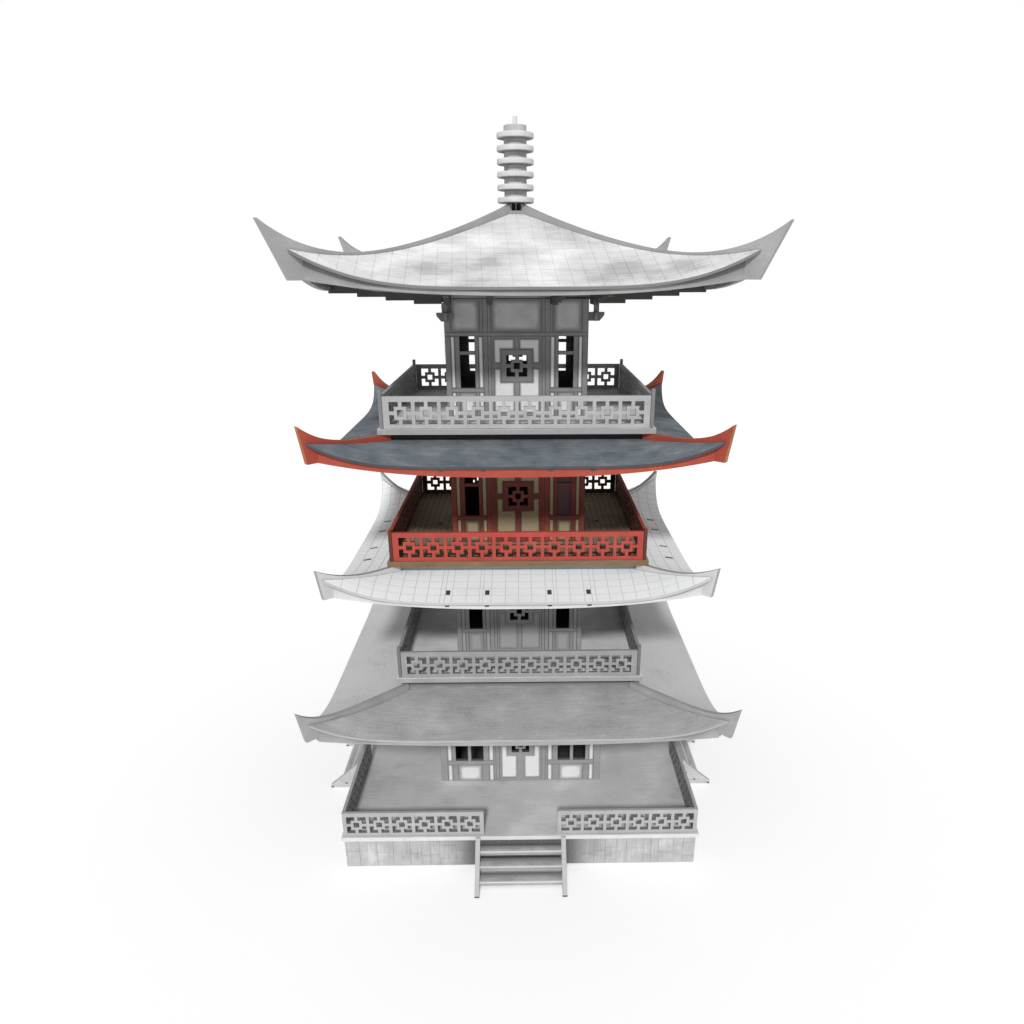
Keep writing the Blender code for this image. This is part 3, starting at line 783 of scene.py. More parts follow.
# Every other paint by its name: its coats, the brushwork, and a side coat where it has one
PAINTS = {
    BURNT: (shades(72, 16, 3), Brushwork(9.0)),
    SHADOW: (shades(62, 14), Brushwork(18.0)),
    "pale_cut_edge": (shades(206, 14), Brushwork(9.0)),
    "dim_cut_edge": (shades(156, 16), Brushwork(9.0)),
    "brown_cut_edge": (coats((112, 66, 42), (164, 100, 60), (200, 134, 80)), Brushwork(14.0)),
    "plinth_grey_wash": (shades(172, 22), Brushwork(14.0, 1.3, 0.8, True)),
    "plinth_block_line": (shades(142, 16), Brushwork(8.0)),
    "ground_deck_grey": (shades(200, 20), Brushwork(34.0, 1.4, 0.6)),
    "balcony_deck_grey": (shades(222, 20), Brushwork(22.0, 1.4, 0.6)),
    "balcony_deck_olive_brown": (coats((122, 110, 90), (150, 138, 114), (172, 160, 134)),
                                 Brushwork(15.0, 1.0, 0.5)),
    "brown_deck_edge": (coats((92, 70, 48), (122, 96, 66), (150, 120, 84)), Brushwork(12.0)),
    "fence_lacquer_red": (coats((146, 52, 42), (170, 64, 54), (188, 82, 68)), Brushwork(11.0)),
    # burnt cut edges, darkened further as painted shade on the lit edges of the holes
    "fence_cut_brown_shaded": (coats((62, 34, 26), (86, 46, 34), (110, 62, 46)), Brushwork(11.0)),
    "fence_bare_brown": (coats((72, 44, 34), (98, 58, 44), (124, 74, 56)), Brushwork(12.0)),
    # its light coat is mostly the painted light at the sunlit foot of the coloured storey's walls
    "wall_frame_red_brown": (coats((86, 38, 34), (106, 47, 41), (156, 64, 52)),
                             Brushwork(10.0, upright=True)),
    "brown_engraved_line": (coats((48, 30, 26), (64, 42, 34), (82, 54, 42)),),
    "shutter_purple_brown": (coats((70, 44, 50), (86, 56, 62), (104, 68, 72)),),
    "stair_grey_drybrush": (shades(182, 22), Brushwork(9.0, 1.2, 0.5, grain=0.6)),
    "stair_cut_edge": (shades(180, 14), Brushwork(9.0)),
    "stair_front_grey": (shades(158, 18), Brushwork(9.0)),
    "eave_grey": (shades(158, 18), Brushwork(18.0, 0.9, 0.3)),
    "eave_pale": (shades(200, 14), Brushwork(18.0, 0.8, 0.3)),
    "eave_lacquer_red": (coats((134, 50, 38), (158, 65, 50), (184, 92, 62)), Brushwork(20.0, 0.8, 0.25)),
    "shingle_worn_grey": ((grey(184), grey(218), grey(242)), Brushwork(38.0, 2.0, 0.5)),
    "shingle_worn_line": ((grey(174), grey(202), grey(226)), Brushwork(38.0, 2.0, 0.5)),
    "shingle_worn_edge": (shades(122, 16), Brushwork(12.0)),
    "shingle_slate_blue": (coats((84, 92, 99), (109, 117, 124), (134, 140, 144)), Brushwork(13.0, 1.3, 0.9)),
    # the coloured roof's curb is painted black as the shadow under the deck above it
    "shingle_collar_black_shadow": (shades(42, 10), Brushwork(9.0)),
    "shingle_slate_edge": (coats((48, 52, 58), (66, 70, 76), (92, 96, 102)), Brushwork(12.0)),
    "shingle_bare_white": (coats((232, 237, 238), (242, 246, 247), (246, 250, 251)),
                           Brushwork(26.0, 1.0, 0.3)),
    "shingle_bare_line": (shades(204, 12), Brushwork(8.0)),
    "shingle_bare_edge": (shades(184, 14), Brushwork(12.0)),
    # this curb is painted greyer than its white roof as the shade under the deck above it
    "shingle_collar_pale_shade": (shades(176, 20), Brushwork(9.0)),
    "shingle_ash_grey": (shades(168, 18), Brushwork(20.0, 1.2, 0.9, grain=0.7), grey(208)),
    "shingle_ash_edge": (shades(166, 16), Brushwork(12.0)),
    # this curb is painted darker than its roof as the shade under the deck above it
    "shingle_collar_ash_shade": (shades(150, 18), Brushwork(9.0)),
    "finial_grey_drybrush": (shades(202, 18), Brushwork(7.0)),
    "finial_drum_grey": (shades(176, 24), Brushwork(7.0)),
}
CREAM_PANEL = coats((84, 62, 46), (134, 116, 90), (156, 140, 112))

# Paints of face, edge, back, panel and line, by the piece's material slot
SUITS = {
    "plinth_stone": ("plinth_grey_wash", "pale_cut_edge", SHADOW, "plinth_grey_wash", "plinth_block_line"),
    "ground_deck": ("ground_deck_grey", "pale_cut_edge", SHADOW),
    "balcony_deck": ("balcony_deck_grey", "dim_cut_edge", SHADOW),
    "balcony_deck_olive": ("balcony_deck_olive_brown", "brown_deck_edge", SHADOW),
    "fence_3": ("fence_lacquer_red", "fence_cut_brown_shaded", "fence_bare_brown"),
    "wall_3": ("wall_frame_red_brown", "brown_engraved_line", "shutter_purple_brown", "wall_panel_cream",
               "brown_engraved_line"),
    "stair_grey": ("stair_grey_drybrush", "stair_cut_edge", "stair_front_grey", "pale_cut_edge", BURNT),
    "roof_frame_grey": ("eave_grey", "dim_cut_edge", "eave_grey", "eave_grey", BURNT),
    "roof_frame_white": ("eave_pale", "dim_cut_edge", "eave_pale", "eave_pale", BURNT),
    "roof_frame_red": ("eave_lacquer_red", "brown_cut_edge", "eave_lacquer_red", "eave_lacquer_red", BURNT),
    "shingle_top": ("shingle_worn_grey", "shingle_worn_edge", SHADOW, "shingle_worn_grey",
                    "shingle_worn_line"),
    "shingle_slate": ("shingle_slate_blue", "shingle_slate_edge", SHADOW, "shingle_collar_black_shadow", BURNT),
    "shingle_white": ("shingle_bare_white", "shingle_bare_edge", SHADOW, "shingle_collar_pale_shade",
                      "shingle_bare_line"),
    "shingle_ash": ("shingle_ash_grey", "shingle_ash_edge", SHADOW, "shingle_collar_ash_shade", BURNT),
    "finial_grey": ("finial_grey_drybrush", "finial_drum_grey", "finial_grey_drybrush",
                    "finial_grey_drybrush", BURNT),
}


def fence_suit(level):
    """Paints of a grey storey's fences."""
    outer, inner = FENCE_GREYS[level]
    face = painted(f"fence_grey_{level}", shades(outer), Brushwork(11.0))
    # edges of the holes: painted shade, darker than the inner face
    edge = painted(f"fence_edge_shade_grey_{level}", shades(inner - FENCE_EDGE_SHADE, 16), Brushwork(11.0))
    return Suit(face, edge, painted(f"fence_inner_grey_{level}", shades(inner, 18), Brushwork(12.0)))


def wall_suit(level):
    """Paints of a grey storey's walls."""
    frame, dark, border, middle, heart, inside = WALL_GREYS[level]
    face = painted(f"wall_frame_grey_{level}", shades(frame, 18), Brushwork(10.0, upright=True))
    line = painted(f"wall_line_grey_{level}", shades(dark, 12), Brushwork(8.0))
    panel_coats = (grey(border), grey(middle), grey(heart))
    panel = soft_panel(f"wall_panel_grey_{level}", panel_coats, Brushwork(9.0))
    # the inside paint stands for the shade inside the storey
    return Suit(face, line, painted(f"wall_inside_shade_grey_{level}", shades(inside, 14)), panel, line)


def mix_paints():
    """Every suit of paints, by the name of its material slot, with the storey where they differ."""
    mixed = {name: painted(name, *recipe) for name, recipe in PAINTS.items()}
    mixed["wall_panel_cream"] = soft_panel("wall_panel_cream", CREAM_PANEL, Brushwork(9.0))
    suits = {slot: Suit(*[mixed[name] for name in names]) for slot, names in SUITS.items()}
    suits |= {f"fence_{level}": fence_suit(level) for level in FENCE_GREYS}
    suits |= {f"wall_{level}": wall_suit(level) for level in WALL_GREYS}
    return suits


# Finishing


SHARP_ANGLE = math.radians(28.0)


def finish_piece(name, mesh, suit, turn=0.0):
    """Scale a mesh to metres, paint it, and let it stand for the solid of the same name."""
    mesh.transform(Matrix.Scale(MM, 4) @ Matrix.Rotation(turn, 4, "Z"))
    mesh.shade_smooth()
    mesh.set_sharp_from_angle(angle=SHARP_ANGLE)
    mesh.validate()
    piece = put(f"dressed_{name}", mesh)
    if not mesh.materials:
        for paint in suit:
            mesh.materials.append(paint or suit.face)
    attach(piece, "root")
    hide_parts(name)


# Plinth and decks


BLOCK_WIDTHS = (5.0, 12.0)
BLOCK_GROOVE = 0.22
BLOCK_BORDER = 0.7
BLOCK_CUTS = ((), (0.5,), (0.5,), (0.36, 0.7))   # where a block is cut across, as shares of its height
CUT_PLAY = 0.12
STAIR_SHADOW_FADE = 15.0        # the painted shadow beside a stair fades to a third over this length
# tone of the painted shadow at the stair
STAIR_SHADOW_TONE = -3.4
PLINTH_SEED = 5


def make_plinth(suit):
    """Board walls engraved as upright blocks of stone."""
    for quarter, side in enumerate(SIDES):
        node = f"plinth_{side}_wall"
        low, high = box_mm(node)
        half = max(high.x - low.x, high.y - low.y) / 2
        out = max(abs(low[1 - quarter % 2]), abs(high[1 - quarter % 2]))
        height = high.z - low.z
        draft = board(rectangle(-half, half, 0.0, height), (), SHEET - RELIEF,
                      -RELIEF - (SHEET - RELIEF) / 2, (LINE, EDGE, BACK))
        chance = random.Random(PLINTH_SEED + quarter)
        for block in stone_blocks(chance, half, height):
            draft.join(plate(shrunk(block, BLOCK_GROOVE / 2), -RELIEF - SINK, 0.0, BLOCK_BORDER, FACE))
        placed = draft.toned(stair_shadow).placed(stand(quarter, out, low.z))
        finish_piece(node, placed.mesh(node), suit)


def stair_shadow(across, _):
    """A painted shadow beside and behind the stair that fades out along the wall."""
    beside = max(abs(across) - box_mm("front_stair")[1].x, 0.0)
    return STAIR_SHADOW_TONE * math.exp(-beside / STAIR_SHADOW_FADE)


def stone_blocks(chance, half, height):
    """Uneven upright blocks along a wall, many of them cut once or twice across."""
    blocks = []
    left = -half
    while left < half:
        right = left + chance.uniform(*BLOCK_WIDTHS)
        if half - right < BLOCK_WIDTHS[0]:
            right = half
        cuts = chance.choice(BLOCK_CUTS)
        levels = [0.0] + [height * (cut + chance.uniform(-CUT_PLAY, CUT_PLAY)) for cut in cuts] + [height]
        blocks += [rectangle(left, right, foot, head) for foot, head in zip(levels, levels[1:])]
        left = right
    return blocks


DECK_SLOT = (56.0, 2.0)  # middle of the slot on the right
DECK_SLOT_SIZE = (2.6, 4.4)
PLANK = 4.0              # between the engraved lines of the coloured deck
PLANK_LINE = 0.3


def make_deck(level, suit):
    """A square deck with painted shade inside the storey; the coloured one has planks and a small slot on
    each side.
    """
    node = deck_node(level)
    half = DECK_HALF[level]
    slots, lines = [], []
    if level == COLOURED:
        (x, y), (wide, deep) = DECK_SLOT, DECK_SLOT_SIZE
        for _ in SIDES:
            slots.append(strip(x, wide, y - deep / 2, y + deep / 2))
            x, y = -y, x
            wide, deep = deep, wide
        planks = int(half / PLANK)
        lines = [PLANK * (n + 0.5) for n in range(-planks, planks)]
    draft = board(square(half), slots, SHEET, DECK_TOP[level] - SHEET / 2)
    for x in lines:
        line = strip(x, PLANK_LINE, -half + SHEET, half - SHEET)
        draft.join(board(line, (), SINK, DECK_TOP[level], ALL_BACK))
    # a dark sheet over the deck inside the walls: painted shade inside the storey
    room = WALL_HALF[level] - WALL_SHEET - FIT
    draft.join(board(square(room), (), 2 * SINK, DECK_TOP[level], ALL_BACK))
    finish_piece(node, draft.mesh(node), suit)


# Fences


def posted_outline(half, height, rise):
    """A fence outline whose ends rise as posts over its top rail."""
    shoulder = half - POST_WIDTH
    return [(-half, 0.0), (half, 0.0), (half, height + rise), (shoulder, height + rise),
            (shoulder, height), (-shoulder, height), (-shoulder, height + rise), (-half, height + rise)]


def make_fences(suits):
    """All fences: pierced board, shaped by one tree."""
    tree = pierced_fence_tree()
    motif = put("fret", outline_mesh(fret_holes(0.0, 0.0)))
    for quarter, side in enumerate(SIDES):
        for hand in ("left", "right"):
            node = f"ground_{side}_fence_{hand}"
            make_fence(node, quarter, 1, tree, motif, suits["fence_1"])
        for level in STOREYS[1:]:
            node = f"balcony_{level}_{side}_fence"
            make_fence(node, quarter, level, tree, motif, suits[f"fence_{level}"])
    bpy.data.objects.remove(motif, do_unlink=True)


def make_fence(node, quarter, level, tree, motif, suit):
    """One fence, with as many frets as fit between its ends."""
    low, high = box_mm(node)
    along = quarter % 2
    sign = 1.0 if quarter < 2 else -1.0
    left, right = sorted((sign * low[along], sign * high[along]))
    out = max(abs(low[1 - along]), abs(high[1 - along]))
    span = right - left
    count = int((span - 2 * LEAST_FENCE_END + FRET_PITCH - FRET_SIZE) / FRET_PITCH)
    frets = count * FRET_PITCH - (FRET_PITCH - FRET_SIZE)
    first = (left + right - frets) / 2
    if level > 1 and quarter % 2 == 1:
        outline = posted_outline(right, FENCE_HEIGHT, POST_RISE[level])
    else:
        outline = rectangle(left, right, 0.0, FENCE_HEIGHT)
    values = {"Fret": motif, "First": first + FRET_SIZE / 2, "Foot": FENCE_FOOT_RAIL + FRET_SIZE / 2,
              "Pitch": FRET_PITCH, "Count": count, "Sheet": WALL_SHEET,
              "Face": suit.face, "Edge": suit.edge, "Back": suit.back}
    mesh = shaped(outline_mesh([outline]), tree, values)
    paint_top(mesh, suit)
    mesh.transform(stand(quarter, out - WALL_SHEET, low.z))
    finish_piece(node, mesh, suit)


LOOKS_UP = 0.9


def paint_top(mesh, suit):
    """Gives a fence's upper edges the paint of its face; the edges of its holes keep a darker paint, painted
    shade.
    """
    face = list(mesh.materials).index(suit.face)
    for polygon in mesh.polygons:
        if polygon.normal.y > LOOKS_UP and polygon.center.y > FENCE_HEIGHT - SINK:
            polygon.material_index = face


# Stairs


STAIR_RUN = 28.5
STRING_TOE = 2.0
STRING_STAND = 1.6
TREADS = 3
TREAD_DEPTH = 8.5
TREAD_BACK_SHADOW = -2.6        # painted shadow: tone at the back of a tread, under the one above
NOSE_HIGHLIGHT = 0.9                # painted highlight: a bright strip along a tread's nose
TAB_LENGTH = 1.8         # burnt end of a tread in the board beside it
TAB_FOOT = 2.0
TAB_HEAD = 1.0
TAB_SINK = 0.25
TAB_SHEET = 0.7
TOE_LENGTH = 2.0         # dark corner at the foot of a board
TOE_HEIGHT = 1.1
TOE_STAND = 0.05


def drawn_stair():
    """The front stair: two cut boards with three open treads between them."""
    _, high = box_mm("front_stair")
    near, head, half = -high.y, high.z, high.x
    draft = Draft()
    string = [(0.0, 0.0), (STAIR_RUN, 0.0), (STAIR_RUN, STRING_TOE), (STRING_STAND, head), (0.0, head)]
    toe = rectangle(STAIR_RUN - TOE_LENGTH, STAIR_RUN + TOE_STAND, 0.0, TOE_HEIGHT)
    lean = Matrix.Rotation(-QUARTER, 4, "Z") @ Matrix.Rotation(QUARTER, 4, "X")
    rise = head / (TREADS + 1)
    going = STAIR_RUN / (TREADS + 1)
    for direction in (-1, 1):
        at = Matrix.Translation((direction * (half - SHEET / 2), -near, 0.0)) @ lean
        draft.join(board(string, (), SHEET, 0.0, BOTH_SIDES), at)
        draft.join(board(toe, (), SHEET + 2 * TOE_STAND, 0.0, ALL_LINE), at)
    inside = half - SHEET + SINK
    for tread in range(1, TREADS + 1):
        nose = near + going * tread - STRING_STAND / 2
        back = max(nose - TREAD_DEPTH, near)
        top = head - rise * tread - STRING_STAND / 2
        tread_board = board(rectangle(-inside, inside, -nose, -back), (), SHEET, top - SHEET / 2,
                            (FACE, BACK, BACK))
        # painted shadow at the back of each tread
        draft.join(tread_board.toned(lambda across, along: TREAD_BACK_SHADOW if along > -nose else 0.0))
        # a painted highlight along each tread's nose
        lip = rectangle(-inside, inside, -nose - SINK, -nose + NOSE_HIGHLIGHT)
        draft.join(board(lip, (), NOSE_HIGHLIGHT, top - NOSE_HIGHLIGHT / 2 + SINK, (PANEL, PANEL, PANEL)))
        middle = (nose + back) / 2
        tab = strip(middle, TAB_LENGTH, top - TAB_FOOT, top - TAB_HEAD)
        for direction in (-1, 1):
            at = Matrix.Translation((direction * (half - TAB_SINK), 0.0, 0.0)) @ lean
            draft.join(board(tab, (), TAB_SHEET, 0.0, ALL_LINE), at)
    return draft


def make_stairs(suit):
    """The same stair on each side."""
    stair = drawn_stair()
    for quarter, side in enumerate(SIDES):
        node = f"{side}_stair"
        placed = stair.placed(Matrix.Rotation(quarter * QUARTER, 4, "Z"))
        finish_piece(node, placed.mesh(node), suit)


# Walls


class WallPlan(NamedTuple):
    """One half of a wall's frame, as distances from its middle, and its rails' heights."""
    leaf: float              # edge of the door leaf
    stile: float             # outside of the door's frame
    post: float              # outside of the post beside it
    near_slip: float         # outside of the narrow panel beside the post
    window: tuple            # near and far edge of the window
    far_slip: float          # inside of the narrow panel beside the corner post
    corner: float            # inside of the corner post
    under: tuple             # near and far edge of the panel under the window
    sill: tuple              # foot and head of the rail under the window
    arm: float               # half width of the door's middle bars
    panes: int


UPPER_PLAN = WallPlan(15.5, 17.5, 20.3, 23.4, (25.6, 34.6), 37.5, 40.2, (25.0, 35.5), (15.4, 17.8), 1.3, 1)
GROUND_PLAN = WallPlan(15.5, 18.0, 19.5, 23.0, (27.0, 47.0), 49.6, 53.1, (28.0, 45.5), (13.8, 17.2), 2.6, 2)
WINDOW_SILL = 18.0
WINDOW_HEAD = 48.5
TRANSOM = (37.7, 39.9)
MULLION = 2.5
HEAD_RAIL = (48.6, 50.7)
FRET_MIDDLE = 31.2
FRET_BOARD = 9.4
LEAF_RIM = 1.3
LEAF_FOOT = 2.4
CROSS_BAR = 1.25
UPPER_POST = (15.4, 17.3, 20.3, 22.0)
FRAME_BORDER = 0.5
PANEL_BORDER = 3.0
PANEL_CORNER = 1.3
PANEL_DIP = 0.05         # how far a panel lies under its frame
UPPER_CORNER = 0.5       # the corner post is this much wider over the head rail
FRET_OPENING = 8.6       # half width of what is open behind the fret board
FRET_SHEET = 1.2
SHUTTER_SHEET = 0.8
UPPER_TONE = -1.0        # the panels over the head rail are darker
FOOT_LIGHT_TONE = 1.0          # painted light: the coloured storey is lighter at its sunlit foot
FOOT_LIGHT_FADE = (10.0, 15.0)


def window_panes(plan):
    """The panes of the right window."""
    near, far = plan.window
    pane = (far - near - MULLION * (plan.panes - 1)) / plan.panes
    lefts = [near + n * (pane + MULLION) for n in range(plan.panes)]
    rows = ((WINDOW_SILL, TRANSOM[0]), (TRANSOM[1], WINDOW_HEAD))
    return [rectangle(left, left + pane, foot, head) for left in lefts for foot, head in rows]


def frame_bars(plan, half, height):
    """Frame members of the right half of a wall."""
    near, far = plan.window
    head = HEAD_RAIL[0]
    foot, sill = plan.sill
    bars = [rectangle(plan.leaf, plan.stile, 0.0, head), rectangle(plan.stile, plan.post, 0.0, head),
            rectangle(plan.near_slip, near, sill, head), rectangle(far, plan.far_slip, sill, head),
            rectangle(plan.corner, half, 0.0, head), rectangle(plan.post, plan.corner, foot, sill),
            rectangle(plan.near_slip, plan.under[0], 0.0, foot),
            rectangle(plan.under[1], plan.far_slip, 0.0, foot), rectangle(near, far, *TRANSOM)]
    for n in range(1, plan.panes):
        middle = near + (far - near) * n / plan.panes
        bars += [strip(middle, MULLION, sill, TRANSOM[0]), strip(middle, MULLION, TRANSOM[1], head)]
    uprights = [*zip(UPPER_POST, UPPER_POST[1:]), (plan.corner - UPPER_CORNER, half)]
    return bars + [rectangle(left, right, HEAD_RAIL[1], height) for left, right in uprights]


def wall_panels(plan, height):
    """Pale panels of the right half of a wall, door panels last."""
    head = HEAD_RAIL[0]
    foot, sill = plan.sill
    slips = ((plan.post, plan.near_slip), (plan.far_slip, plan.corner))
    panels = [rectangle(*slip, *span) for span in ((sill, head), (0.0, foot)) for slip in slips]
    panels.append(rectangle(*plan.under, 0.0, foot))
    panels.append(rectangle(UPPER_POST[3], plan.corner - UPPER_CORNER, HEAD_RAIL[1], height))
    return panels + door_panels(plan)


def door_panels(plan):
    """The two door panels right of the middle, each notched by the fret board."""
    edge = plan.leaf - LEAF_RIM
    low, high = FRET_MIDDLE - FRET_BOARD, FRET_MIDDLE + FRET_BOARD
    under, over = FRET_MIDDLE - CROSS_BAR, FRET_MIDDLE + CROSS_BAR
    top = HEAD_RAIL[0] - LEAF_RIM
    lower = [(plan.arm, LEAF_FOOT), (edge, LEAF_FOOT), (edge, under), (FRET_BOARD, under),
             (FRET_BOARD, low), (plan.arm, low)]
    upper = [(FRET_BOARD, over), (edge, over), (edge, top), (plan.arm, top), (plan.arm, high),
             (FRET_BOARD, high)]
    return [lower, upper]


def with_mirrored(outlines):
    """Outlines of the right half and the same ones of the left half."""
    return outlines + [mirrored(outline) for outline in outlines]


def wall_face(plan, half, height):
    """A wall's board and all its plates, drawn flat."""
    holes = with_mirrored(window_panes(plan)) + [square(FRET_SIZE / 2, FRET_MIDDLE)]
    thickness = WALL_SHEET - RELIEF
    draft = board(rectangle(-half, half, 0.0, height), holes, thickness, -RELIEF - thickness / 2,
                  (LINE, EDGE, BACK))
    gap = GROOVE / 2
    for bar in with_mirrored(frame_bars(plan, half, height)) + [rectangle(-half, half, *HEAD_RAIL)]:
        draft.join(plate(shrunk(bar, gap), -RELIEF - SINK, 0.0, FRAME_BORDER, FACE))
    middle_panel = rectangle(-UPPER_POST[0], UPPER_POST[0], HEAD_RAIL[1], height)
    for panel in with_mirrored(wall_panels(plan, height)) + [middle_panel]:
        tone = UPPER_TONE if panel[0][1] >= HEAD_RAIL[1] else 0.0
        draft.join(plate(shrunk(panel, gap), -RELIEF - SINK, -PANEL_DIP, PANEL_BORDER, PANEL, tone,
                         PANEL_CORNER))
    leaf = rectangle(-plan.leaf + gap, plan.leaf - gap, gap, HEAD_RAIL[0] - gap)
    cut_out = with_mirrored(door_panels(plan)) + [square(FRET_OPENING, FRET_MIDDLE)]
    draft.join(board(leaf, cut_out, RELIEF + SINK, -(RELIEF + SINK) / 2, (FACE, LINE, BACK)))
    fret = fret_holes(0.0, FRET_MIDDLE)
    draft.join(board(square(FRET_BOARD, FRET_MIDDLE), fret, FRET_SHEET, 0.0, (FACE, EDGE, BACK)))
    return draft


def paint_light_on_foot(draft):
    """Raises the tone of what lies low on a wall: painted light on its sunlit foot."""
    low, high = FOOT_LIGHT_FADE
    for n, (_, up) in enumerate(draft.places):
        share = min(max((high - up) / (high - low), 0.0), 1.0)
        draft.tones[n] += FOOT_LIGHT_TONE * share


def make_walls(level, suit):
    """Four walls of a storey; in the coloured one the right front window is shut."""
    plan = GROUND_PLAN if level == 1 else UPPER_PLAN
    height = WALL_HEAD[level] - WALL_FOOT[level]
    for quarter, side in enumerate(SIDES):
        half = WALL_HALF[level] - (0.0 if side in ("front", "back") else WALL_SHEET + FIT)
        draft = wall_face(plan, half, height)
        if level == COLOURED and side == "front":
            near, far = plan.window
            shutter = rectangle(near - SINK, far + SINK, WINDOW_SILL - SINK, WINDOW_HEAD + SINK)
            inside = -WALL_SHEET + SHUTTER_SHEET / 2
            draft.join(board(shutter, (), SHUTTER_SHEET, inside, ALL_BACK))
        # painted light at the foot of the coloured storey's walls
        if level == COLOURED:
            paint_light_on_foot(draft)
        placed = draft.placed(stand(quarter, WALL_HALF[level], WALL_FOOT[level]))
        node = f"storey_{level}_{side}_wall"
        finish_piece(node, placed.mesh(node), suit)


# Roofs


HIP_STEPS = 36
HIP_HEAD_RISE = 2.4      # the top roof's hips stand higher near the finial
HIP_HEAD_POWER = 6.0
CURB_SHADOW_TONE = -4.0         # painted shadow over the lowest roof's curb, deepest under the deck
CAP_RISE = 2.0           # small square plate that closes the top roof
# painted shade on the cap, under the finial
CAP_SHADE_TONE = -2.2
# painted shadow on the crossing under the finial
CROSS_SHADOW_TONE = -3.0
CROSS_HEIGHT = 6.0       # of the crossing under the finial, over the panels
CROSS_SHADOW_HALF = 5.6         # half length of its dark middle, a painted shadow
PANEL_STEPS_OUT = 20
PANEL_STEPS_ACROSS = 60
FASCIA_STEPS = 36
TILE = 7.8
TILE_RISE = 0.2
BANDED = 2               # the roof whose rafters show as bands and slots
BANDS = ((16.4, 21.3), (39.8, 44.1))
SLOT_PLACES = (-42.4, -18.8, 18.8, 42.4)
SLOT_WIDTH = 2.6
SLOT_FROM_EAVE = (8.4, 13.7)
SLOT_FLOOR = 0.03
LEAST_TILE = 1.2         # lines of the grid this near to a band's edge are left out
LEAST_TILE_AREA = 0.4
TILED = (2, 4)
TABBED = (2, 3)          # roofs whose fascias show the rafters' tabs
BELLY_RISE = 0.35        # share of its rise that a hip board's underside has made half way out


def edge_gap():
    """How far a panel's slanting edge stays from the diagonal, where the hip board stands."""
    return (SHEET / 2 + FIT) * math.sqrt(2.0)


def panel_plan(roof):
    """The flat plan of one panel, as a fine grid of faces."""
    inner = roof.inner - SHEET / 2
    draft = Draft()
    points = []
    for i in range(PANEL_STEPS_OUT + 1):
        out = inner + (roof.eave_half - inner) * i / PANEL_STEPS_OUT
        half = out - edge_gap()
        for j in range(PANEL_STEPS_ACROSS + 1):
            points.append((half * (2 * j / PANEL_STEPS_ACROSS - 1), -out, 0.0))
    row = PANEL_STEPS_ACROSS + 1
    faces = [[i * row + j, (i + 1) * row + j, (i + 1) * row + j + 1, i * row + j + 1]
             for i in range(PANEL_STEPS_OUT) for j in range(PANEL_STEPS_ACROSS)]
    draft.add(points, faces, FACE)
    return draft.mesh("panel plan")


def clipped(outline, normal, limit):
    """The part of an outline where a point's product with the normal is under the limit."""
    kept = []
    for here, after in zip(outline, outline[1:] + outline[:1]):
        start = here[0] * normal[0] + here[1] * normal[1] - limit
        end = after[0] * normal[0] + after[1] * normal[1] - limit
        if start <= 0:
            kept.append(here)
        if start * end < 0:
            share = start / (start - end)
            kept.append((here[0] + (after[0] - here[0]) * share, here[1] + (after[1] - here[1]) * share))
    return kept


def tile_lines(roof, banded):
    """Places of the lines that run up a side: an even grid, and the edges of the bands."""
    count = int(roof.eave_half / TILE) + 1
    lines = [n * TILE for n in range(-count, count + 1)]
    if banded:
        edges = [sign * edge for band in BANDS for edge in band for sign in (-1, 1)]
        lines = [line for line in lines if min(abs(line - edge) for edge in edges) > LEAST_TILE] + edges
    return sorted(lines)


def slot_boxes(roof):
    """The four slots of a side, as left, right, foot and head."""
    near, far = SLOT_FROM_EAVE
    return [(place - SLOT_WIDTH / 2, place + SLOT_WIDTH / 2, near - roof.eave_half, far - roof.eave_half)
            for place in SLOT_PLACES]


def around(cell, slot):
    """What a slot leaves of a tile; both are given as left, right, foot and head."""
    left, right, foot, head = cell
    if slot[0] >= right or slot[1] <= left or slot[2] >= head or slot[3] <= foot:
        return [cell]
    inner_left, inner_right = max(left, slot[0]), min(right, slot[1])
    parts = [(left, slot[0], foot, head), (slot[1], right, foot, head),
             (inner_left, inner_right, foot, slot[2]), (inner_left, inner_right, slot[3], head)]
    return [part for part in parts if part[1] - part[0] > GROOVE and part[3] - part[2] > GROOVE]


def tile_plan(roof, banded):
    """The flat plan of one panel's square tiles, cut off along the hips."""
    draft = Draft()
    rows = int((roof.eave_half - roof.inner) / TILE) + 1
    lines = tile_lines(roof, banded)
    slope = edge_gap() + GROOVE / 2
    gap = GROOVE / 2
    for row in range(rows):
        outer = roof.eave_half - row * TILE
        nearer = max(outer - TILE, roof.inner + FIT)
        for left, right in zip(lines, lines[1:]):
            cells = [(left + gap, right - gap, gap - outer, -nearer - gap)]
            for slot in slot_boxes(roof) if banded else []:
                cells = [part for cell in cells for part in around(cell, slot)]
            for cell in cells:
                tile = clipped(rectangle(*cell), (1.0, 1.0), -slope)
                tile = clipped(tile, (-1.0, 1.0), -slope) if len(tile) > 2 else tile
                if len(tile) > 2 and signed_area(tile) > LEAST_TILE_AREA:
                    draft.add([(x, y, 0.0) for x, y in tile], [list(range(len(tile)))], FACE)
    return draft.mesh("tile plan")


def slot_plan(roof):
    """The flat floor of the slots in one panel, painted dark as the shadow in the holes."""
    draft = Draft()
    for slot in slot_boxes(roof):
        draft.add([(x, y, 0.0) for x, y in rectangle(*slot)], [[0, 1, 2, 3]], FACE)
    return draft.mesh("slot plan")


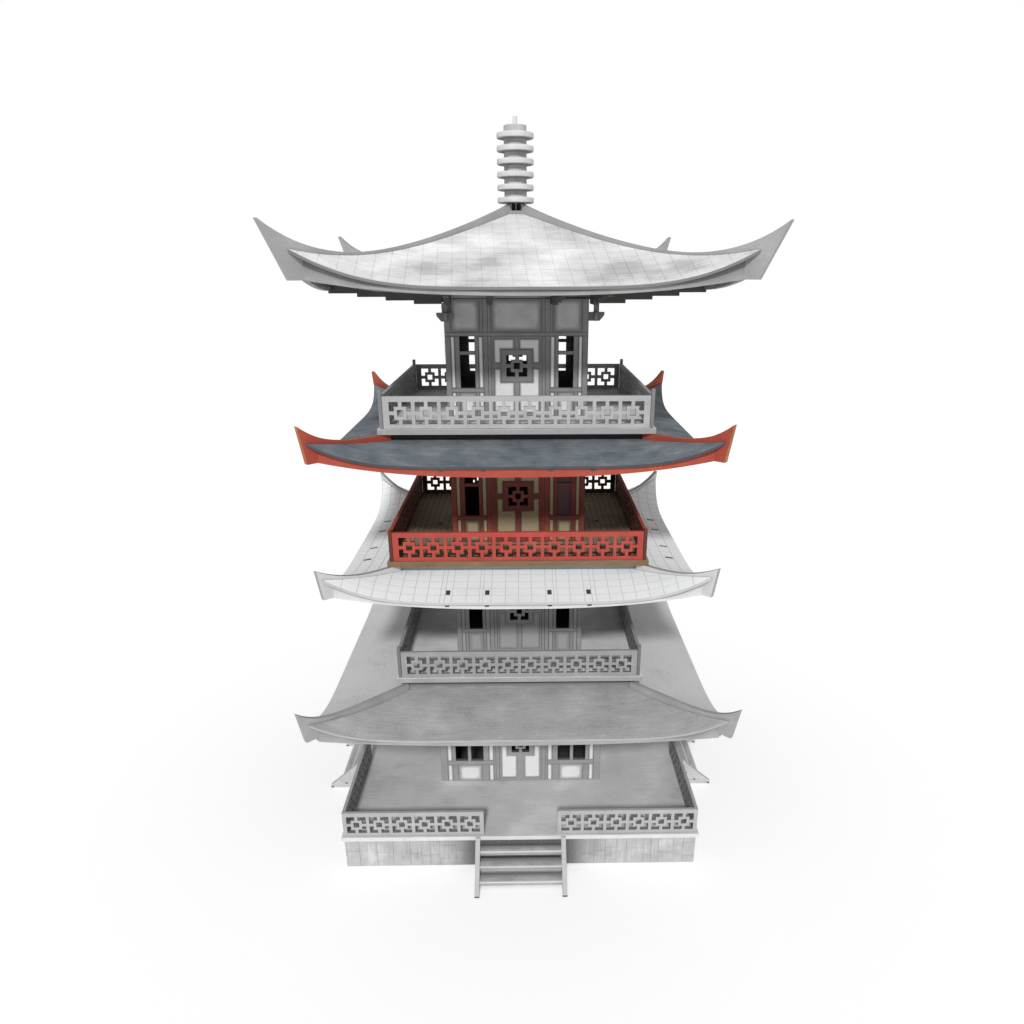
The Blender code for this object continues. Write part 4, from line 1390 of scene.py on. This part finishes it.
def make_roof_panels(level, suit, tree):
    """Four bent panels with their curb or cap, and plates of square tiles on two of the roofs."""
    roof = ROOFS[level]
    tiled = level in TILED
    node = f"roof_{level}_panels"
    values = {"Inner": roof.inner, "Eave Half": roof.eave_half, "Top": roof.top, "Drop": roof.eave_drop,
              "Corner Lift": roof.corner_lift, "Reach Power": roof.lift_reach_power,
              "Across Power": roof.lift_across_power, "Flare": roof.flare,
              "Rise": -SINK if tiled else 0.0, "Sheet": SHINGLE_SHEET, "Fineness": 0,
              "Face": suit.line if tiled else suit.face, "Edge": suit.edge, "Back": suit.back}
    parts = [shaped(panel_plan(roof), tree, values)]
    if tiled:
        values.update({"Rise": TILE_RISE, "Sheet": TILE_RISE + 2 * SINK, "Fineness": 2,
                       "Face": suit.face, "Edge": suit.line, "Back": suit.line})
        parts.append(shaped(tile_plan(roof, level == BANDED), tree, values))
        if level == BANDED:
            # the slots' floors are painted dark as the shadow in the holes
            values.update({"Rise": SLOT_FLOOR, "Sheet": SLOT_FLOOR + 2 * SINK,
                           "Face": suit.back, "Edge": suit.back, "Back": suit.back})
            parts.append(shaped(slot_plan(roof), tree, values))
    collar = drawn_collar(level).mesh("collar")
    for _ in BOTH_SIDES:
        collar.materials.append(suit.panel)
    finish_piece(node, merged(node, [*parts, collar]), suit, roof.turn)


def drawn_collar(level):
    """The curb that the next storey stands on, or the cap of the top roof."""
    roof = ROOFS[level]
    foot = roof.top - SHINGLE_SHEET
    if level == STOREYS[-1]:
        height = SHINGLE_SHEET + CAP_RISE
        return board(square(CAP_HALF), (), height, foot + height / 2, BOTH_SIDES, CAP_SHADE_TONE)
    height = SHINGLE_SHEET + roof.curb_height
    hollow = [square(CURB_HALF - SHEET)]
    curb = board(square(CURB_HALF), hollow, height, foot + height / 2, BOTH_SIDES)
    # painted shadow on the lowest roof's curb, under the deck
    if level == 1:
        curb.tones = [CURB_SHADOW_TONE if point.z > roof.top else 0.0 for point in curb.points]
    return curb


def merged(name, meshes):
    """One mesh from several, keeping their materials."""
    objects = [put("part", mesh) for mesh in meshes]
    with bpy.context.temp_override(active_object=objects[0], object=objects[0],
                                   selected_objects=objects, selected_editable_objects=objects):
        bpy.ops.object.join()
    mesh = objects[0].data
    mesh.name = name
    bpy.data.objects.remove(objects[0], do_unlink=True)
    return mesh


def hip_outline(level):
    """Outline of a hip board from tip to tip, along one of the roof's diagonals."""
    roof = ROOFS[level]
    stretch = math.sqrt(2.0)
    tip = roof.eave_half + roof.tip_reach
    tip_height = eave_height(roof) + roof.tip_rise
    foot_height = eave_height(roof) + roof.hip_foot_rise
    foot_out = tip - roof.tip_lean
    low = CEILING_FOOT[level] + SHEET / 2
    start = roof.inner + FIT
    ridge = frame_top(roof, roof.inner, 0.0)
    upper = [(start, ridge)]
    if level == STOREYS[-1]:
        bend = start
        upper.append((start, hip_height(roof, start) + HIP_STAND + HIP_HEAD_RISE))
    else:
        bend = DECK_HALF[level + 1]
        head = DECK_TOP[level + 1] - SHEET - FIT - roof.hip_dip
        upper += [(start, head), (bend, head)]
    rest_height = upper[-1][1]
    extra = tip_height - hip_height(roof, tip) - HIP_STAND
    for n in range(1, HIP_STEPS + 1):
        share = n / HIP_STEPS
        out = bend + (tip - bend) * share
        if level == STOREYS[-1]:
            height = hip_height(roof, out) + HIP_STAND + extra * share ** roof.sweep_power
            height += HIP_HEAD_RISE * (1.0 - share) ** HIP_HEAD_POWER
        else:
            height = rest_height + (tip_height - rest_height) * share ** roof.sweep_power
        upper.append((out, height))
    lower = [(foot_out, foot_height), (foot_out - HIP_FOOT_LENGTH, foot_height)]
    belly_out = (roof.eave_half + WALL_HALF[level]) / 2
    belly = low + (foot_height - low) * BELLY_RISE
    lower += [(belly_out, belly), (WALL_HALF[level], low)]
    half = [(out * stretch, height) for out, height in upper + lower]
    return half + [(-out, height) for out, height in half[::-1]]


def fascia_outline(level):
    """Outline of the board under an eave, curved with the roof panel above it."""
    roof = ROOFS[level]
    half = roof.eave_half - FASCIA_INSET
    head, foot = [], []
    for n in range(FASCIA_STEPS + 1):
        across = half * (2 * n / FASCIA_STEPS - 1)
        head.append((across, frame_top(roof, half, across) + SINK))
        spread = abs(across / half) ** FOOT_LIFT_POWER
        middle = frame_top(roof, half, 0.0) - roof.fascia_depth
        foot.append((across, middle + roof.fascia_foot_lift * spread))
    return foot + head[::-1]


FASCIA_SHADOW_TONE = -2.6       # painted shadow: tone under the panels
FASCIA_FADE = 3.4        # what it gains on the way down
FASCIA_TONE = {1: -0.4, 2: 0.8, 4: -0.9}      # and where it stops
RAFTER_COVER = 0.7       # how far the fascia reaches below a rafter's end
RAFTER_TOP_STEPS = 8
BRACKET = [(-2.5, 0.0), (3.9, 0.0), (6.7, 3.2), (6.7, 5.0), (3.4, 5.0), (3.4, 10.4), (0.6, 10.4),
           (0.6, 5.0), (-2.5, 5.0)]
BRACKET_FOOT = 57.6
# painted shade over the brackets, under the top roof's eave
BRACKET_SHADE_TONE = -2.0
TAB_END = (2.6, 1.1)     # end of a rafter's tab in the fascia
TAB_DROP = 0.9
TAB_STAND = 0.15


def fascia_shadow(level):
    """Tones of a fascia: a painted shadow under the panels that fades downwards; the red one has none."""
    roof = ROOFS[level]
    half = roof.eave_half - FASCIA_INSET

    def tone(across, up):
        share = (frame_top(roof, half, across) - up) / roof.fascia_depth
        return min(FASCIA_SHADOW_TONE + FASCIA_FADE * share, FASCIA_TONE[level])

    return (lambda across, up: 0.0) if level == COLOURED else tone


def rafter_outline(level, place):
    """Outline of a rafter: out from the axis along X, with a stepped underside."""
    roof = ROOFS[level]
    wall = WALL_HALF[level]
    start = wall - SHEET
    face = wall / math.cos(roof.turn) + (wall + SHEET) * math.tan(roof.turn) + FIT
    end = roof.eave_half - FASCIA_INSET
    low = CEILING_FOOT[level]
    points = [(start, low + SHEET / 2), (face, low + SHEET / 2), (face, low - RAFTER_FOOT_DROP)]
    tread = (end - face) / RAFTER_STEPS
    rise = RAFTER_RISE
    if level < STOREYS[-1]:
        cover = frame_top(roof, end, 0.0) - roof.fascia_depth + RAFTER_COVER
        rise = max(rise, cover - low + RAFTER_FOOT_DROP)
    for n in range(1, RAFTER_STEPS + 1):
        height = low - RAFTER_FOOT_DROP + rise * (n - 1) / (RAFTER_STEPS - 1)
        points.append((face + tread * n, height))
        if n < RAFTER_STEPS:
            points.append((face + tread * n, height + rise / (RAFTER_STEPS - 1)))
    for n in range(RAFTER_TOP_STEPS + 1):
        out = end - (end - start) * n / RAFTER_TOP_STEPS
        reach = max(out, abs(place) + SHEET, roof.inner)
        points.append((out, frame_top(roof, reach, place) - FIT))
    return points


def finial_crossing(roof):
    """The board between the top roof's hips under the finial, its middle painted dark as the shadow there."""
    reach = (roof.inner + FIT) * math.sqrt(2.0)
    foot, top = roof.top - SINK, roof.top + CROSS_HEIGHT
    head = hip_height(roof, roof.inner + FIT) + HIP_STAND + HIP_HEAD_RISE
    cross = [(-reach, foot), (reach, foot), (reach, head), (CROSS_SHADOW_HALF, top), (-CROSS_SHADOW_HALF, top),
             (-reach, head)]
    middle = rectangle(-CROSS_SHADOW_HALF, CROSS_SHADOW_HALF, foot, top + SINK)
    draft = board(cross, (), SHEET, 0.0, BOTH_SIDES)
    return draft.join(board(middle, (), SHEET + SINK, 0.0, ALL_LINE, CROSS_SHADOW_TONE))


def eave_board(level):
    """The board under an eave with the ends of the rafters' tabs in it, drawn flat."""
    roof = ROOFS[level]
    # painted shadow on the fascia under the panels
    draft = board(fascia_outline(level), (), SHEET, 0.0, BOTH_SIDES).toned(fascia_shadow(level))
    wide, deep = TAB_END
    for place in SLOT_PLACES if level in TABBED else ():
        top = frame_top(roof, roof.eave_half - FASCIA_INSET, place) - TAB_DROP
        tab = strip(place, wide, top - deep, top)
        draft.join(board(tab, (), SHEET + 2 * TAB_STAND, 0.0, ALL_LINE))
    return draft


def make_roof_frame(level, suit):
    """Ceiling, crossed hip boards, fascias and rafters of one roof."""
    roof = ROOFS[level]
    wall = WALL_HALF[level]
    draft = board(square(wall), (), SHEET, CEILING_FOOT[level] + SHEET / 2)
    upright = Matrix.Rotation(QUARTER, 4, "X")
    hip = board(hip_outline(level), (), SHEET, 0.0, BOTH_SIDES)
    if level == STOREYS[-1]:
        hip.join(finial_crossing(roof))
    for diagonal in range(2):
        draft.join(hip, Matrix.Rotation(math.pi / 4 + diagonal * QUARTER, 4, "Z") @ upright)
    eave = eave_board(level)
    arm = [(x + wall, y) for x, y in BRACKET]
    rafters = [board(rafter_outline(level, place), (), SHEET, 0.0, ALL_LINE) for place in RAFTER_PLACES]
    for quarter in range(len(SIDES)):
        draft.join(eave, stand(quarter, roof.eave_half - FASCIA_INSET, 0.0))
        if level == STOREYS[-1]:
            at = stand(quarter, wall + FIT, DECK_TOP[level] + BRACKET_FOOT)
            for outline in with_mirrored([arm]):
                draft.join(board(outline, (), WALL_SHEET, WALL_SHEET / 2, BOTH_SIDES, BRACKET_SHADE_TONE), at)
        for place, rafter in zip(RAFTER_PLACES, rafters):
            aside = Matrix.Rotation(quarter * QUARTER, 4, "Z") @ Matrix.Translation((0.0, place, 0.0))
            draft.join(rafter, aside @ upright)
    node = f"roof_{level}_frame"
    finish_piece(node, draft.mesh(node), suit, roof.turn)


# Finial


DISC_COUNT = 6
DISC_RADIUS = 11.2
DISC_THICKNESS = 3.0
DISC_RIM = 0.35          # its worn edge
DRUM_RADIUS = 6.9
DISC_PITCH = 7.0
JOINT = 5.0              # height of the line round a drum, over the foot of the disc below it
JOINT_CUT = 0.2
FINIAL_FOOT = 6.2
FINIAL_FOOT_RADIUS = 2.6
FINIAL_CAP = 4.2
PIN_RADIUS = 1.4
PIN_LENGTH = 4.6
TURNED_STEPS = 56

# Turned profiles: radius, height, paint and tone. The tones are painted light and shade:
# dark under each disc and at the top of each drum, light on the disc tops, rims and pin.
FOOT_PROFILE = [(0.0, 0.0, FACE, 0.0), (FINIAL_FOOT_RADIUS, 0.0, FACE, 0.0),
                (FINIAL_FOOT_RADIUS, FINIAL_FOOT, EDGE, -1.6)]
DISC_PROFILE = [(DISC_RADIUS - DISC_RIM, 0.0, EDGE, -1.4), (DISC_RADIUS, DISC_RIM, FACE, -0.4),
                (DISC_RADIUS, DISC_THICKNESS - DISC_RIM, FACE, 0.8),
                (DISC_RADIUS - DISC_RIM, DISC_THICKNESS, FACE, 1.0), (DRUM_RADIUS, DISC_THICKNESS, FACE, 1.0)]
DRUM_PROFILE = [(DRUM_RADIUS, JOINT - JOINT_CUT, EDGE, 0.4), (DRUM_RADIUS - JOINT_CUT, JOINT, EDGE, -1.0),
                (DRUM_RADIUS, JOINT + JOINT_CUT, EDGE, -0.4), (DRUM_RADIUS, DISC_PITCH, EDGE, -1.9)]
PIN_PROFILE = [(DRUM_RADIUS, -0.5, EDGE, 0.2), (DRUM_RADIUS - 0.4, -0.1, FACE, 0.8),
               (PIN_RADIUS, 0.4, FACE, 0.8), (PIN_RADIUS, PIN_LENGTH - 0.3, FACE, 0.6),
               (PIN_RADIUS - 0.3, PIN_LENGTH, FACE, 0.6), (0.0, PIN_LENGTH, FACE, 0.6)]


def raised(profile, height):
    """A profile moved up."""
    return [(radius, up + height, paint, tone) for radius, up, paint, tone in profile]


def make_finial(suit):
    """Six discs on a stack of drums with a pin on top, turned as one profile."""
    foot = ROOFS[4].top + FIT
    profile = raised(FOOT_PROFILE, foot)
    for n in range(DISC_COUNT):
        height = foot + FINIAL_FOOT + n * DISC_PITCH
        last = n == DISC_COUNT - 1
        profile += raised(DISC_PROFILE if last else DISC_PROFILE + DRUM_PROFILE, height)
    profile += raised(PIN_PROFILE, height + DISC_THICKNESS + FINIAL_CAP)
    finish_piece("finial", lathe(profile).mesh("finial"), suit, TOP_TURN)


def lathe(profile):
    """A solid turned about the upright axis; the profile's ends lie on the axis."""
    draft = Draft()
    rings = profile[1:-1]
    angles = [2 * math.pi * n / TURNED_STEPS for n in range(TURNED_STEPS)]
    points = [(radius * math.cos(angle), radius * math.sin(angle), height)
              for radius, height, _, _ in rings for angle in angles]
    draft.add(points, [], FACE)
    draft.tones = [tone for _, _, _, tone in rings for _ in range(TURNED_STEPS)]
    for ring in range(len(rings) - 1):
        for n in range(TURNED_STEPS):
            after = (n + 1) % TURNED_STEPS
            low, high = ring * TURNED_STEPS, (ring + 1) * TURNED_STEPS
            draft.faces.append([low + n, low + after, high + after, high + n])
            draft.paints.append(rings[ring + 1][2])
    last = (len(rings) - 1) * TURNED_STEPS
    draft.faces += [list(range(TURNED_STEPS))[::-1], list(range(last, last + TURNED_STEPS))]
    draft.paints += [FACE, FACE]
    return draft


# Stage


DOME = 0.5               # light from all round
BACKDROP = 1.0           # the same, as the camera sees it
KEY_STRENGTH = 2.3
KEY_ANGLE = math.radians(6.0)
KEY_FROM = (-0.05, -0.80, 0.56)
FLOOR_HALF = 3.0         # metres, as are the floor's drop and the camera's place
FLOOR_DROP = 0.0003
FLOOR_LOOK = {"Base Color": (0.97, 0.97, 0.97, 1.0), "Roughness": 0.9, "Specular IOR Level": 0.1,
              "Emission Color": (1.0, 1.0, 1.0, 1.0), "Emission Strength": 0.15}
CAMERA_PLACE = (0.00351, -0.53988, 0.37637)
CAMERA_PITCH = math.radians(-22.222)
CAMERA_YAW = math.radians(0.997)
CAMERA_ROLL = math.radians(-0.042)
CAMERA_LENS = 27.592
CAMERA_SHIFT = (-0.02423, 0.07263)
SENSOR_WIDTH = 36.0
CLIP_START = 0.01


def make_stage():
    """A plain pale floor, soft studio light and the camera at the photograph's place."""
    scene = bpy.context.scene
    scene.view_settings.view_transform = "Standard"
    floor_mesh = bpy.data.meshes.new("floor")
    corners = [(x, y, -FLOOR_DROP) for x, y in square(FLOOR_HALF)]
    floor_mesh.from_pydata(corners, [], [(0, 1, 2, 3)])
    white = bpy.data.materials.new("floor_white")
    white.use_nodes = True
    for name, value in FLOOR_LOOK.items():
        white.node_tree.nodes["Principled BSDF"].inputs[name].default_value = value
    floor_mesh.materials.append(white)
    put("floor", floor_mesh)
    world = bpy.data.worlds.new("studio")
    scene.world = world
    world.use_nodes = True
    background = world.node_tree.nodes["Background"]
    background.inputs["Color"].default_value = (1.0, 1.0, 1.0, 1.0)
    graph = Graph(world.node_tree)
    seen = graph.add("ShaderNodeLightPath", output="Is Camera Ray")
    graph.tree.links.new((seen * (BACKDROP - DOME) + DOME).socket, background.inputs["Strength"])
    key = bpy.data.lights.new("key_light", "SUN")
    key.energy = KEY_STRENGTH
    key.angle = KEY_ANGLE
    put("key_light", key).rotation_euler = (-Vector(KEY_FROM)).to_track_quat("-Z", "Y").to_euler()
    add_camera()


def add_camera():
    """A wide lens close to the model, a little above its third roof."""
    flat = math.cos(CAMERA_PITCH)
    ahead = Vector((math.sin(CAMERA_YAW) * flat, math.cos(CAMERA_YAW) * flat, math.sin(CAMERA_PITCH)))
    right = ahead.cross(Vector((0.0, 0.0, 1.0))).normalized()
    up = right.cross(ahead)
    aside = right * math.cos(CAMERA_ROLL) + up * math.sin(CAMERA_ROLL)
    above = up * math.cos(CAMERA_ROLL) - right * math.sin(CAMERA_ROLL)
    data = bpy.data.cameras.new("camera")
    data.sensor_width = SENSOR_WIDTH
    data.lens = CAMERA_LENS
    data.shift_x, data.shift_y = CAMERA_SHIFT
    data.clip_start = CLIP_START
    camera = put("camera", data)
    axes = Matrix((aside, above, -ahead)).transposed().to_4x4()
    camera.matrix_world = Matrix.Translation(CAMERA_PLACE) @ axes
    bpy.context.scene.camera = camera


# Material slots of each storey's deck, walls, roof frame and roof panels
SLOTS = {
    1: ("ground_deck", "wall_grey", "roof_frame_grey", "shingle_ash"),
    2: ("balcony_deck", "wall_grey", "roof_frame_white", "shingle_white"),
    3: ("balcony_deck_olive", "wall_cream", "roof_frame_red", "shingle_slate"),
    4: ("balcony_deck", "wall_grey", "roof_frame_grey", "shingle_top"),
}


def dress_pagoda():
    """Every piece of the model, from the ground up."""
    suits = mix_paints()
    make_plinth(suits["plinth_stone"])
    make_fences(suits)
    make_stairs(suits["stair_grey"])
    bend = bent_roof_tree()
    for level, (deck, wall, eaves, panels) in SLOTS.items():
        make_deck(level, suits[deck])
        make_walls(level, suits[f"wall_{level}"])
        make_roof_frame(level, suits[eaves])
        make_roof_panels(level, suits[panels], bend)
    make_finial(suits["finial_grey"])


make_stage()
dress_pagoda()

bpy.context.view_layer.update()
